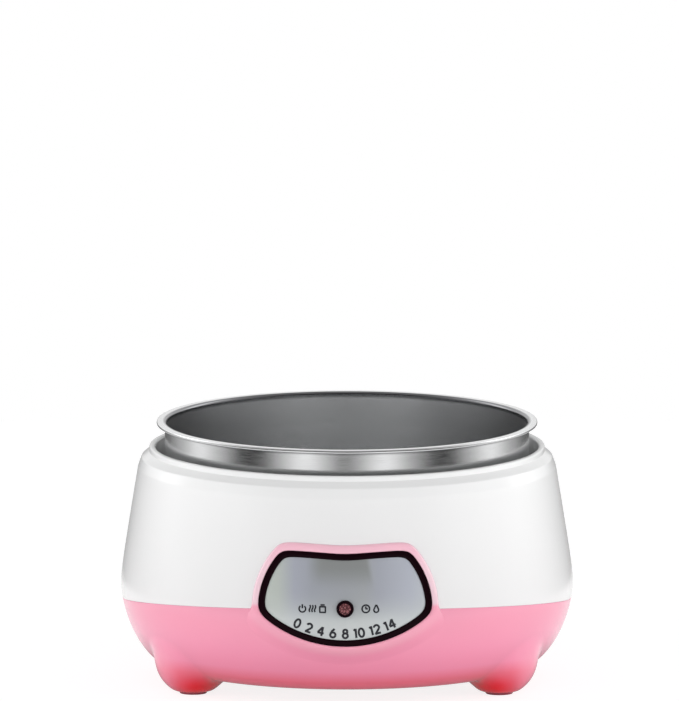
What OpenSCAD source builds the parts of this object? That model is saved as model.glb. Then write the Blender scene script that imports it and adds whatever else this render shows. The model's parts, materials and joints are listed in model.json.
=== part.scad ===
// Electric yogurt maker: a round two-part body on four ball feet, a front panel with a lamp,
// and a steel liner that lifts out of a warmed well.
// Millimetres. +Z is up and the front faces -Y. The origin is on the table, under the middle of the body.

/* [Body] */
// Room between the well's mouth and the body's widest ring
side_room = 10.6; // [10:0.1:16]
// Height of the widest ring above the table
belt_z = 36; // [34:1:40]
// Height of the lip's top above the table
body_h = 86.6; // [84:0.5:100]
// Thickness of the two moulded shells
wall = 2.4; // [2:0.1:2.8]
// Height of the base's underside above the table
floor_z = 6.7; // [5:0.1:8]
// Distance from the widest ring in to the edge of the flat underside
bowl_inset = 17; // [14:0.5:20]
// Fullness of the base's side, where 2 is an ellipse
bowl_power = 1.7; // [1.6:0.05:2.2]
// Softness of the turn above the widest ring
side_softness = 0.12; // [0.05:0.01:0.3]

/* [Neck] */
// Width of the lip round the mouth
lip_w = 2.3; // [2:0.1:2.6]
// Height of the lip above the lid ledge
collar_h = 2; // [1.5:0.1:3]
// Width of the sloping lid ledge
ledge_w = 2.8; // [2.4:0.1:3.4]
// Fall of the lid ledge from its inner to its outer edge
ledge_drop = 2.2; // [1.5:0.1:2.6]
// Width of the shoulder outside the ledge
shoulder_w = 1.3; // [1:0.1:1.8]
// Height of the shoulder below the ledge
shoulder_h = 3.6; // [3:0.1:5]
// Depth of the lip's skirt inside the mouth
skirt_h = 7.6; // [6.5:0.1:9]

/* [Seam] */
// Height of the seam between the two shells, at the sides
seam_side_z = 31; // [28:0.5:33]
// How far the seam climbs from the sides to the front and the back
seam_rise = 8.8; // [6:0.1:10]
// Radius of the seam's bend at the sides
seam_bend_r = 160; // [100:5:250]
// Groove left between the shells
seam_gap = 0.3; // [0.3:0.1:0.8]
// Height of the base's tongue above the seam
tongue_h = 3; // [2:0.5:4]
// Thickness of the base's tongue
tongue_t = 1; // [0.8:0.1:1.2]
// Clearance between parts that plug together
fit_gap = 0.15; // [0.1:0.05:0.2]

/* [Feet] */
// Radius of each ball foot
foot_r = 14; // [13:0.5:16]
// Height of a foot's centre above the table
foot_lift = 13.2; // [12.5:0.1:14.5]
// Distance of the feet's middles inside the edge of the flat underside
foot_inset = 1; // [0:0.5:2]
// Angle of the feet from the front and back directions
foot_spread = 60; // [50:1:65]
// Radius of a rubber pad
pad_r = 5; // [4.5:0.1:6]
// Height that a pad stands out of its foot
pad_h = 0.8; // [0.6:0.1:1.5]

/* [Liner] */
// Inside radius of the steel liner
liner_r = 65.9; // [64.5:0.1:66.5]
// Thickness of the liner's sheet
liner_t = 0.6; // [0.5:0.1:0.8]
// Height of the rim above the lip
liner_rise = 9; // [6:0.5:14]
// Inside radius of the liner's bottom corner
liner_corner_r = 12; // [10:0.5:13]
// Width of the turned-out rim beyond the wall
rim_w = 3; // [2.4:0.1:3.2]
// Depth of the hem at the rim's edge
rim_h = 1.3; // [1.2:0.1:1.8]
// Width of the hem
hem_w = 1.6; // [1.3:0.1:1.8]
// Gap between the liner and the lip
liner_gap = 3.4; // [3:0.1:4]

/* [Well] */
// Height of the well's floor above the table
well_floor_z = 22; // [21.5:0.1:24]
// Thickness of the well
well_t = 2; // [1.6:0.1:2.4]
// Gap between the liner and the well at the floor
well_gap = 1.4; // [1:0.1:1.8]
// Height of the ears that carry the well
ear_z = 32; // [30:0.5:36]
// Thickness of an ear
ear_t = 2.5; // [2:0.1:3]
// Radius of a screw post under the lip
post_r = 3; // [2.8:0.1:3.2]

/* [Heater] */
// Radius of the warm plate's raised top
plate_r = 39.7; // [37:0.1:42]
// Thickness of the warm plate
plate_t = 1.2; // [1:0.1:1.6]
// Depth of the bosses that the warm plate hangs from
plate_boss_h = 5; // [4.6:0.1:5.2]
// Width of the warm plate's flange
plate_flange_w = 9.8; // [9:0.1:11]
// Width of the heating block
heater_w = 26; // [20:1:28]
// Length of the heating block
heater_l = 50; // [40:1:56]
// Height of the heating block
heater_h = 5; // [4.6:0.1:5.2]
// Width of the clamp strap
clamp_w = 12; // [10:1:14]
// Thickness of the clamp strap
clamp_t = 1; // [0.8:0.1:1.2]
// Radius of the thermal fuse
fuse_r = 2; // [1.8:0.1:2.2]
// Length of the fuse's sleeve
sleeve_l = 34; // [28:1:38]

/* [Panel] */
// Radius of the panel's two sides
panel_r = 32; // [28:0.5:34]
// Height of the panel's widest line
panel_z = 38; // [36:0.5:40]
// Height of the panel's top corners
panel_top_z = 60.4; // [56:0.2:64]
// Dip in the middle of the panel's top edge
panel_dip = 1.1; // [0:0.1:2.5]
// Height of the lowest point of the panel
panel_low_z = 25; // [24:0.5:27]
// Radius of the panel's bottom edge
panel_low_r = 48.2; // [44:0.2:54]
// Width of the dark frame
frame_w = 2.2; // [1.6:0.1:3]
// Width of the raised border above and below the frame
border_w = 2.9; // [2.4:0.1:3.6]
// Width of the raised border at the frame's two sides
border_side_w = 2.2; // [1.8:0.1:3]
// Height of the raised border above the body
border_proud = 1.5; // [1.2:0.1:1.8]
// Height of the frame above the body
frame_proud = 1.1; // [0.8:0.1:1.2]
// Height of the metal face above the body
face_proud = 0.6; // [0.4:0.1:0.8]
// Depth of the panel's recess into the body
recess_d = 1; // [0.8:0.1:1.2]

/* [Lamp] */
// Height of the lamp
lamp_z = 39.3; // [38:0.1:42]
// Radius of the lamp's lens
lens_r = 2.1; // [1.8:0.1:2.4]
// Width of the ring round the lens
bezel_w = 1.1; // [0.9:0.1:1.4]
// Length of the lamp's bulb
bulb_l = 4; // [3.5:0.1:4.2]

/* [Mains inlet] */
// Height of the inlet's pins
inlet_z = 18.5; // [18:0.1:18.8]
// Distance between the two pins
pin_gap = 8.6; // [8.6:0.1:8.6]
// Radius of a pin
pin_r = 1.18; // [1.15:0.01:1.2]
// Length of a pin in the socket
pin_l = 10; // [9.5:0.1:10.5]
// Radius of each round lobe of the socket
lobe_r = 4.15; // [4:0.05:4.3]
// Width of the inlet's flange
flange_w = 25; // [24:0.5:27]
// Height of the inlet's flange
flange_h = 15; // [14:0.5:15.5]
// Thickness of the inlet's flange
flange_t = 1.5; // [1.2:0.1:1.8]
// Depth of the inlet's body behind the flange
inlet_d = 15; // [14.5:0.1:15.5]

/* [Fasteners and wires] */
// Shank radius of the screws
screw_r = 1.45; // [1.3:0.05:1.5]
// Radius of the screws' heads
screw_head_r = 2.7; // [2.6:0.1:2.9]
// Radius of the studs under the warm plate
stud_r = 1.5; // [1.4:0.05:1.6]
// Radius of the power wires
wire_r = 1; // [0.8:0.1:1.1]
// Radius of the lamp's leads
lead_r = 0.7; // [0.6:0.1:0.8]

/* [Hidden] */
$fn = 96;
big = 400;              // larger than the whole object
arc_n = 5;              // chords in a small fillet
touch = 0.05;           // clearance round a shank, and between faces that rest on each other

// Rings of the neck, from the liner outward
liner_out_r = liner_r + liner_t;
rim_r = liner_out_r + rim_w;
lip_in_r = liner_out_r + liner_gap;
collar_r = lip_in_r + lip_w;
ledge_out_r = collar_r + ledge_w;
neck_r = ledge_out_r + shoulder_w;
body_r = lip_in_r + well_t + side_room;
floor_r = body_r - bowl_inset;
foot_ring_r = floor_r - foot_inset;
ledge_in_z = body_h - collar_h;
ledge_out_z = ledge_in_z - ledge_drop;
shoulder_z = ledge_out_z - shoulder_h;
skirt_z = body_h - skirt_h;
ledge_under = wall * 1.25;              // vertical thickness of the sloping ledge

// Base floor, feet and screws
floor_top_z = floor_z + wall;
pillar_r = 4.2;
pillar_top_z = floor_top_z + 2.9;
bore_r = screw_head_r + 0.6;            // counterbore in a foot
head_h = 2;
head_seat_z = 7;                        // shelf that a foot's screw head bears on
stem_r = bore_r - 0.1;
shank_l = 14;
well_shank_l = 10;
hole_r = screw_r + 0.25;
pilot_r = screw_r + touch;

// Well
rest_z = well_floor_z + 2 * touch;      // top of the warm plate, where the liner stands
liner_z0 = rest_z + touch;
rim_top_z = body_h + liner_rise;
well_under_z = well_floor_z - well_t;
well_low_r = liner_out_r + well_gap;
well_corner_r = liner_corner_r + liner_t + well_gap;
well_top_z = skirt_z - 2 * touch;
post_ring_r = lip_in_r + well_t + 0.5 + post_r;
post_angles = [45, 135, 225, 315];
ear_r = post_r - 0.2;
rib_t = 1.6;
boss_r = 4;

// Heater
open_r = plate_r + 0.3;
flange_top_z = well_under_z - plate_boss_h;
flange_r = plate_r + plate_flange_w;
flange_bottom_z = flange_top_z - plate_t;
plate_screw_ring_r = plate_r + 5.3;
plate_screw_angles = [30, 150, 270];
plate_boss_r = 3.5;
plate_shank_l = 4.6;
plate_under_z = rest_z - plate_t;
heater_bottom_z = plate_under_z - heater_h;
clamp_step = 0.4;                       // gap between the heating block's side and the strap
stud_x = heater_w / 2 + clamp_step + clamp_t + 4.6;
stud_l = 6;
clamp_foot_l = 8.2;
nut_h = 2.4;
nut_r = 3.1;
sleeve_r = fuse_r + 0.9;
sleeve_t = 0.7;
fuse_l = 12;
fuse_lead_r = 0.5;
fuse_end_y = sleeve_l / 2 - 1;          // where the fuse's leads meet the wires, inside the sleeve
fuse_x = -(stud_x + clamp_foot_l / 2 + sleeve_r + 1.8);
fuse_z = plate_under_z - sleeve_r - touch;
clip_t = 0.8;
clip_w = 8;
clip_ear_l = 2 * nut_r + 2;
clip_stud_x = fuse_x + sleeve_r + clip_t + nut_r + 0.4;
clip_y = 12;

// Inlet
pod_w = flange_w + 7;
pod_low_z = inlet_z - flange_h / 2 - 1.6;
pod_high_z = inlet_z + flange_h / 2 + 1.4;
pod_y = body_r - 1;                     // flat back face that the inlet's flange lies on
inlet_w = pin_gap + 2 * lobe_r + 4;
inlet_h = 2 * lobe_r + 1.7;
socket_d = pin_l + 1;
waist_h = 5.4;
inlet_back_y = pod_y - inlet_d;
pin_stem_r = pin_r + 0.3;
tab_l = 8;
tab_w = 3.4;
tab_t = 0.8;
snap_l = 2.4;           // ribs that hold the inlet behind the wall of its pod
snap_h = 0.8;

// Lamp, on a line through the panel along Y
lamp_y = -(body_radius(max(belt_z, lamp_z - lens_r - bezel_w)) + face_proud);     // back of the lamp's ring
bezel_r = lens_r + bezel_w;
barrel_r = lens_r + 0.7;
barrel_hole_r = barrel_r + 0.1;
bezel_proud = 0.9;
lens_l = 4;
bulb_gap = 0.3;         // between the bulb and the lens
retainer_r = 4.4;
retainer_t = 1.4;
lamp_seat_r = retainer_r + 0.6;         // flat boss that the retainer bears on
lamp_seat_y = -(body_radius(lamp_z + lamp_seat_r) - wall - fit_gap - tongue_t - 0.5);
barrel_l = lamp_seat_y + retainer_t + 0.4 - lamp_y;

// ---------- outlines ----------

function unit(v) = v / norm(v);

// Points of a fillet of radius r at q, between the edges to p and to s.
function fillet(p, q, s, r, n) =
    let (u = unit(p - q), v = unit(s - q), half = acos(u * v) / 2)
    let (c = q + unit(u + v) * r / sin(half))
    let (a = q + u * r / tan(half) - c, b = q + v * r / tan(half) - c)
    let (a0 = atan2(a[1], a[0]), turn = atan2(a[0] * b[1] - a[1] * b[0], a * b))
    [for (i = [0:n]) c + r * [cos(a0 + turn * i / n), sin(a0 + turn * i / n)]];

// A closed outline from corners [x, y, fillet radius].
function rounded(corners) =
    let (n = len(corners))
    [for (i = [0:n - 1])
        let (q = corners[i], p = corners[(i + n - 1) % n], s = corners[(i + 1) % n])
        let (chords = q[2] > 5 ? 2 * arc_n : arc_n)
        each q[2] > 0 ? fillet([p[0], p[1]], [q[0], q[1]], [s[0], s[1]], q[2], chords) : [[q[0], q[1]]]];

function reverse(list) = [for (i = [len(list) - 1:-1:0]) list[i]];

// Radius of the body's outside at height z: a full bowl below the belt, a soft cone above it.
function bowl_radius(z) =
    floor_r + (body_r - floor_r) * pow(max(0, 1 - pow((belt_z - z) / (belt_z - floor_z), bowl_power)),
                                       1 / bowl_power);
function side_share(u) = (sqrt(u * u + side_softness * side_softness) - side_softness)
                         / (sqrt(1 + side_softness * side_softness) - side_softness);
function side_radius(z) = body_r - (body_r - neck_r) * side_share((z - belt_z) / (shoulder_z - belt_z));
function body_radius(z) = z < belt_z ? bowl_radius(z) : side_radius(z);

// The body's outside between two heights, moved outward by offset.
function body_line(offset, low, high, n) =
    [for (i = [0:n]) let (z = low + (high - low) * i / n) [body_radius(z) + offset, z]];

// The bowl from the belt down to its flat floor, inset by the wall where it is the inside.
function bowl_line(inset, n) =
    [for (i = [0:n]) let (t = 90 * i / n)
        [floor_r + (body_r - floor_r - inset) * pow(cos(t), 2 / bowl_power),
         belt_z - (belt_z - floor_z - inset) * pow(sin(t), 2 / bowl_power)]];

// The panel's outline, moved outward by grow, and by side at its two sides. Each edge gives a distance
// along a ray from the middle, and a high power mean of the nearest ones rounds the corners.
panel_power = 26;
panel_mid_z = panel_z + 4;
function circle_reach(a, centre_z, r) =
    let (o = panel_mid_z - centre_z) -o * sin(a) + sqrt(r * r - pow(o * cos(a), 2));
function top_reach(a, grow) =
    sin(a) > 0.05 ? (panel_top_z + grow - panel_mid_z - panel_dip * pow(sin(a), 4)) / sin(a) : 1000;
function panel_reach(a, grow, side) =
    let (near = [circle_reach(a, panel_z, panel_r + side),
                 circle_reach(a, panel_low_z + panel_low_r, panel_low_r + grow),
                 top_reach(a, grow)])
    let (least = min(near))
    least * pow(pow(least / near[0], panel_power) + pow(least / near[1], panel_power)
                + pow(least / near[2], panel_power), -1 / panel_power);
function panel_outline(grow, side) =
    [for (a = [0:5:355]) let (reach = panel_reach(a, grow, side))
        [reach * cos(a), panel_mid_z + reach * sin(a)]];

// The seam, seen from the side: two slopes that meet in a wide bend.
seam_slope = atan(seam_rise / body_r);
function seam_z(y) =
    let (bend_y = seam_bend_r * sin(seam_slope))
    abs(y) < bend_y ? seam_side_z + seam_bend_r - sqrt(seam_bend_r * seam_bend_r - y * y)
                    : seam_side_z + seam_bend_r * (1 - cos(seam_slope)) + (abs(y) - bend_y) * tan(seam_slope);
function seam_line(shift) =
    let (bend_y = seam_bend_r * sin(seam_slope))
    [for (y = concat([-big / 4], [for (i = [-5:5]) bend_y * i / 5], [big / 4])) [y, seam_z(y) + shift]];

// ---------- building blocks ----------

module revolve(points) { rotate_extrude() polygon(points); }

// A wall that follows the body between two offsets and two heights.
module body_ring(outer, inner, low, high, n = 12) {
    revolve(concat(body_line(outer, low, high, n), reverse(body_line(inner, low, high, n))));
}

module below_seam(shift) {
    rotate([90, 0, 90])
        translate([0, 0, -big / 2])
            linear_extrude(big)
                polygon(concat([[-big / 4, -big / 4]], seam_line(shift), [[big / 4, -big / 4]]));
}

// The panel's outline pushed through the front of the body.
module panel_prism(grow, side) {
    translate([0, -body_r / 2, 0])
        rotate([90, 0, 0])
            linear_extrude(body_r)
                polygon(panel_outline(grow, side));
}

// The same for the raised border, changed by a gap.
module border_prism(gap) { panel_prism(border_w + gap, border_side_w + gap); }

module along_y(y) { translate([0, y, 0]) rotate([-90, 0, 0]) children(); }

module at_feet() {
    for (a = [270 - foot_spread, 270 + foot_spread, 90 - foot_spread, 90 + foot_spread])
        rotate([0, 0, a]) translate([foot_ring_r, 0, 0]) children();
}

module at_posts() { for (a = post_angles) rotate([0, 0, a]) translate([post_ring_r, 0, 0]) children(); }

module at_plate_screws() {
    for (a = plate_screw_angles) rotate([0, 0, a]) translate([plate_screw_ring_r, 0, 0]) children();
}

// A pan-head screw that points up, with its shank starting at z = 0.
module screw(length) {
    difference() {
        union() {
            cylinder(r = screw_r, h = length);
            translate([0, 0, -head_h]) cylinder(r = screw_head_r, h = head_h);
        }
        for (a = [0, 90])
            rotate([0, 0, a])
                translate([-screw_head_r * 0.6, -0.4, -head_h - 1])
                    cube([screw_head_r * 1.2, 0.8, 2]);
    }
}

// A smooth line through hand-placed points.
function spline_point(p, i, t) =
    let (a = p[max(i - 1, 0)], b = p[i], c = p[i + 1], d = p[min(i + 2, len(p) - 1)])
    0.5 * (2 * b + t * (c - a) + t * t * (2 * a - 5 * b + 4 * c - d) + t * t * t * (3 * b - a - 3 * c + d));
function spline(p, steps) =
    concat([for (i = [0:len(p) - 2], k = [0:steps - 1]) spline_point(p, i, k / steps)], [p[len(p) - 1]]);

// Directions along a path. The ends point straight along the first and the last hand-placed stretch.
function tangents(path, points) =
    let (last = len(path) - 1, far = len(points) - 1)
    [for (i = [0:last]) i == 0 ? unit(points[1] - points[0])
                        : i == last ? unit(points[far] - points[far - 1])
                        : unit(path[i + 1] - path[i - 1])];
function side_of(t) = abs(t[2]) > 0.95 ? unit(cross(t, [0, 1, 0])) : unit(cross(t, [0, 0, 1]));
function carried_side(t, side) = unit(side - t * (side * t));
function sides_along(t, i = 0, out = []) =
    i == len(t) ? out
    : sides_along(t, i + 1, concat(out, [i == 0 ? side_of(t[0]) : carried_side(t[i], out[i - 1])]));

// A round wire of radius r swept along a path, as one closed skin of 8-sided rings.
module wire(points, r, steps = 4) {
    path = spline(points, steps);
    t = tangents(path, points);
    side = sides_along(t);
    n = len(path);
    skin = [for (i = [0:n - 1], k = [0:7])
                path[i] + r * (side[i] * cos(45 * k) + cross(t[i], side[i]) * sin(45 * k))];
    walls = [for (i = [0:n - 2], k = [0:7])
                [i * 8 + k, (i + 1) * 8 + k, (i + 1) * 8 + (k + 1) % 8, i * 8 + (k + 1) % 8]];
    polyhedron(skin, concat(walls, [[for (k = [0:7]) k]], [[for (k = [7:-1:0]) (n - 1) * 8 + k]]));
}

// ---------- shells ----------

module upper_shell() {
    low = seam_side_z - 6;
    outline = concat(body_line(0, low, shoulder_z, 16),
                     rounded([[neck_r, shoulder_z, 0],
                              [ledge_out_r, ledge_out_z, 1.2],
                              [collar_r, ledge_in_z, 0.2],
                              [collar_r, body_h, lip_w * 0.36],
                              [lip_in_r, body_h, lip_w * 0.45],
                              [lip_in_r, skirt_z, 0],
                              [collar_r, skirt_z, 0],
                              [collar_r, ledge_in_z - ledge_under, 0],
                              [neck_r - wall, shoulder_z, 0]]),
                     reverse(body_line(-wall, low, shoulder_z, 16)));
    post_z = ear_z + ear_t;
    post_h = ledge_out_z - wall / 2 - post_z;
    rib_z = seam_z(body_r * sin(45)) + tongue_h + 1 - post_z;   // ribs start above the base's tongue
    color("white")
    difference() {
        union() {
            revolve(outline);
            intersection() {
                at_posts() translate([0, 0, post_z]) {
                    cylinder(r = post_r, h = post_h);
                    translate([0, -rib_t / 2, rib_z]) cube([12, rib_t, post_h - rib_z]);
                }
                revolve(concat([[0, low], [0, shoulder_z + wall]], [[neck_r - wall / 2, shoulder_z + wall]],
                               reverse(body_line(-wall / 2, low, shoulder_z, 16))));
            }
        }
        below_seam(seam_gap);
        border_prism(fit_gap);
        at_posts() cylinder(r = pilot_r, h = post_z + 10);
    }
}

module foot_balls(inset, bottom) {
    at_feet() difference() {
        translate([0, 0, foot_lift]) sphere(r = foot_r - inset);
        translate([-big / 2, -big / 2, -big]) cube([big, big, big + bottom]);
    }
}

// The flat-faced pod at the back that carries the mains inlet.
module inlet_pod(inset, reach) {
    half = pod_w / 2 - inset;
    round_r = 5 - inset;
    translate([0, reach - inset, 0])
        rotate([90, 0, 0])
            linear_extrude(25 - inset)
                polygon(rounded([[half, pod_low_z + inset, round_r], [half, pod_high_z - inset, round_r],
                                 [-half, pod_high_z - inset, round_r], [-half, pod_low_z + inset, round_r]]));
}

module bowl_solid(inset, top) {
    revolve(concat([[0, top], [body_r - inset, top]], bowl_line(inset, 16), [[0, floor_z + inset]]));
}

// The raised border round the panel, stepped in height.
module panel_border() {
    low = panel_low_z - border_w - 4;
    high = panel_top_z + border_w + 2;
    intersection() {
        body_ring(border_proud * 0.55, -wall, low, high);
        border_prism(0);
    }
    intersection() {
        body_ring(border_proud, -wall / 2, low, high);
        border_prism(-0.8);
    }
}

module panel_recess() {
    intersection() {
        body_ring(border_proud + 1, -recess_d, panel_low_z - border_w - 5, panel_top_z + border_w + 3);
        panel_prism(touch, touch);
    }
}

module seam_tongue() {
    inner = -(wall + fit_gap + tongue_t);
    low = seam_side_z - 8;
    high = seam_z(body_r) + tongue_h + 2;
    intersection() {
        body_ring(-wall - fit_gap, inner, low, high);
        difference() { below_seam(tongue_h); below_seam(-tongue_h); }
    }
    intersection() {
        body_ring(-wall / 2, inner, low, high);
        difference() { below_seam(0); below_seam(-tongue_h); }
    }
}

module base_shell() {
    color("lightpink")
    difference() {
        union() {
            difference() {
                union() {
                    intersection() { bowl_solid(0, belt_z); below_seam(0); }
                    intersection() {
                        body_ring(0, -wall - 2, belt_z - 0.01, seam_z(body_r) + 1, 3);
                        below_seam(0);
                    }
                    foot_balls(0, pad_h);
                    inlet_pod(0, pod_y);
                }
                bowl_solid(wall, belt_z);
                translate([0, 0, belt_z - 0.02])
                    revolve(concat([[0, 10], [0, 0]], [for (p = body_line(-wall, belt_z, belt_z + 10, 3))
                                                         [p[0], p[1] - belt_z]]));
                foot_balls(wall, pad_h + wall);
                inlet_pod(wall, pod_y);
            }
            seam_tongue();
            panel_border();
            translate([0, -body_radius(lamp_z) + wall / 2, lamp_z]) rotate([-90, 0, 0])
                cylinder(r = lamp_seat_r, h = lamp_seat_y + body_radius(lamp_z) - wall / 2);
            at_feet() translate([0, 0, pad_h]) cylinder(r = pillar_r, h = pillar_top_z - pad_h);
        }
        panel_recess();
        at_feet() {
            translate([0, 0, -1]) cylinder(r = bore_r, h = head_seat_z + 1);
            cylinder(r = hole_r, h = pillar_top_z + 1);
        }
        along_y(-big / 2) translate([0, -lamp_z, 0]) cylinder(r = barrel_hole_r, h = big / 2 - body_r / 2);
        translate([-inlet_w / 2 - fit_gap, pod_y - wall - 6, inlet_z - inlet_h / 2 - fit_gap])
            cube([inlet_w + 2 * fit_gap, wall + 7, inlet_h + 2 * fit_gap]);
    }
}

module foot_pads() {
    color("dimgray")
    at_feet() {
        cylinder(r = pad_r, h = pad_h);
        cylinder(r = stem_r, h = head_seat_z - head_h - 0.4);
    }
}

// ---------- panel and lamp ----------

module panel_frame() {
    color("black")
    difference() {
        intersection() {
            body_ring(frame_proud, -recess_d + touch, panel_low_z - 2, panel_top_z + 2);
            panel_prism(0, 0);
        }
        panel_prism(-frame_w, -frame_w);
    }
}

module panel_face() {
    color("silver")
    difference() {
        intersection() {
            body_ring(face_proud, -recess_d + touch, panel_low_z - 2, panel_top_z + 2);
            panel_prism(-frame_w - touch, -frame_w - touch);
        }
        along_y(-big / 2) translate([0, -lamp_z, 0]) cylinder(r = barrel_hole_r, h = big / 2);
    }
}

module at_lamp() { translate([0, lamp_y, lamp_z]) rotate([-90, 0, 0]) children(); }

module lamp_bezel() {
    color("black")
    at_lamp() difference() {
        union() {
            translate([0, 0, -bezel_proud]) cylinder(r1 = bezel_r - 0.3, r2 = bezel_r, h = bezel_proud);
            cylinder(r = barrel_r, h = barrel_l);
        }
        translate([0, 0, -bezel_proud - 1]) cylinder(r = lens_r + touch, h = barrel_l + bezel_proud + 2);
    }
}

module lamp_lens() {
    color("firebrick")
    at_lamp() {
        translate([0, 0, -bezel_proud]) cylinder(r = lens_r, h = lens_l);
        translate([0, 0, -bezel_proud - 0.35]) cylinder(r1 = lens_r * 0.55, r2 = lens_r * 0.95, h = 0.35);
    }
}

module lamp_bulb() {
    color("orange")
    at_lamp() translate([0, 0, lens_l - bezel_proud + bulb_gap]) cylinder(r = lens_r, h = bulb_l);
}

// The push-on ring that holds the lamp's barrel against the inside of the base.
module lamp_retainer() {
    color("white")
    translate([0, lamp_seat_y + touch, lamp_z]) rotate([-90, 0, 0])
        difference() {
            cylinder(r = retainer_r, h = retainer_t);
            translate([0, 0, -1]) cylinder(r = barrel_r + touch, h = retainer_t + 2);
        }
}

// ---------- liner and well ----------

module liner() {
    floor_in_z = liner_z0 + liner_t;
    color("lightsteelblue")
    revolve(rounded([[0, floor_in_z, 0],
                     [liner_r, floor_in_z, liner_corner_r],
                     [liner_r, rim_top_z, 1.1],
                     [rim_r, rim_top_z, rim_h * 0.48],
                     [rim_r, rim_top_z - rim_h, rim_h * 0.48],
                     [rim_r - hem_w, rim_top_z - rim_h, 0],
                     [rim_r - hem_w, rim_top_z - liner_t, 0],
                     [liner_out_r, rim_top_z - liner_t, 0.5],
                     [liner_out_r, liner_z0, liner_corner_r + liner_t],
                     [0, liner_z0, 0]]));
}

module well() {
    color("gainsboro")
    difference() {
        union() {
            revolve(rounded([[0, well_top_z, 0],
                             [lip_in_r + well_t, well_top_z, 0],
                             [well_low_r + well_t, well_under_z, well_corner_r + well_t],
                             [0, well_under_z, 0]]));
            at_posts() translate([0, 0, ear_z]) {
                cylinder(r = ear_r, h = ear_t);
                translate([-8, -ear_r, 0]) cube([8, 2 * ear_r, ear_t]);
            }
            at_feet() translate([0, 0, pillar_top_z + 2 * touch])
                cylinder(r = boss_r, h = well_floor_z + 6 - pillar_top_z);
            at_plate_screws() translate([0, 0, flange_top_z])
                cylinder(r = plate_boss_r, h = plate_boss_h + 1);
        }
        revolve(rounded([[0, well_floor_z, 0],
                         [well_low_r, well_floor_z, well_corner_r],
                         [lip_in_r, well_top_z, 0],
                         [lip_in_r, well_top_z + 5, 0],
                         [0, well_top_z + 5, 0]]));
        translate([0, 0, well_under_z - 1]) cylinder(r = open_r, h = well_t + 2);
        at_posts() translate([0, 0, ear_z - 1]) cylinder(r = hole_r, h = ear_t + 2);
        at_feet() cylinder(r = pilot_r, h = head_seat_z + shank_l + 0.5);
        at_plate_screws() translate([0, 0, flange_top_z - 1]) cylinder(r = pilot_r, h = plate_shank_l + 0.4);
    }
}

// ---------- heater ----------

module warm_plate() {
    color("lightgray")
    difference() {
        union() {
            revolve(rounded([[0, rest_z, 0],
                             [plate_r, rest_z, 1],
                             [plate_r, flange_top_z, 0],
                             [flange_r, flange_top_z, 0],
                             [flange_r, flange_bottom_z, 0],
                             [plate_r - plate_t, flange_bottom_z, 0],
                             [plate_r - plate_t, plate_under_z, 0],
                             [0, plate_under_z, 0]]));
            for (x = [-stud_x, stud_x])
                translate([x, 0, plate_under_z - stud_l]) cylinder(r = stud_r, h = stud_l + plate_t / 2);
            translate([clip_stud_x, clip_y, plate_under_z - stud_l])
                cylinder(r = stud_r, h = stud_l + plate_t / 2);
        }
        at_plate_screws() translate([0, 0, flange_bottom_z - 1]) cylinder(r = hole_r, h = plate_t + 2);
    }
}

module heater_block() {
    color("silver")
    translate([0, heater_l / 2, heater_bottom_z])
        rotate([90, 0, 0])
            linear_extrude(heater_l)
                polygon(rounded([[-heater_w / 2, 0, 1], [heater_w / 2, 0, 1],
                                 [heater_w / 2, heater_h, 1], [-heater_w / 2, heater_h, 1]]));
}

module heater_clamp() {
    inner = heater_w / 2 + clamp_step;
    outer = inner + clamp_t;
    tip = outer + clamp_foot_l;
    top = plate_under_z;
    low = heater_bottom_z;
    color("darkgray")
    difference() {
        translate([0, clamp_w / 2, 0])
            rotate([90, 0, 0])
                linear_extrude(clamp_w)
                    polygon([[-tip, top], [-inner, top], [-inner, low], [inner, low], [inner, top],
                             [tip, top], [tip, top - clamp_t], [outer, top - clamp_t], [outer, low - clamp_t],
                             [-outer, low - clamp_t], [-outer, top - clamp_t], [-tip, top - clamp_t]]);
        for (x = [-stud_x, stud_x])
            translate([x, 0, low - 5]) cylinder(r = stud_r + touch, h = 20);
    }
}

module nut() {
    difference() {
        cylinder(r = nut_r, h = nut_h, $fn = 6);
        translate([0, 0, -1]) cylinder(r = stud_r + touch, h = nut_h + 2);
    }
}

module clamp_nuts() {
    color("goldenrod") {
        for (x = [-stud_x, stud_x]) translate([x, 0, plate_under_z - clamp_t - nut_h]) nut();
        translate([clip_stud_x, clip_y, plate_under_z - clip_t - nut_h]) nut();
    }
}

module plate_screws() {
    color("gray") at_plate_screws() translate([0, 0, flange_bottom_z]) screw(plate_shank_l);
}

module thermal_fuse() {
    color("lightgray")
    translate([fuse_x, 0, fuse_z]) along_y(0) {
        translate([0, 0, -fuse_l / 2]) cylinder(r = fuse_r, h = fuse_l);
        translate([0, 0, -fuse_end_y]) cylinder(r = fuse_lead_r, h = 2 * fuse_end_y);
    }
}

module fuse_sleeve() {
    color("ivory")
    translate([fuse_x, 0, fuse_z]) along_y(-sleeve_l / 2)
        difference() {
            cylinder(r = sleeve_r, h = sleeve_l);
            translate([0, 0, -1]) cylinder(r = sleeve_r - sleeve_t, h = sleeve_l + 2);
        }
}

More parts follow.
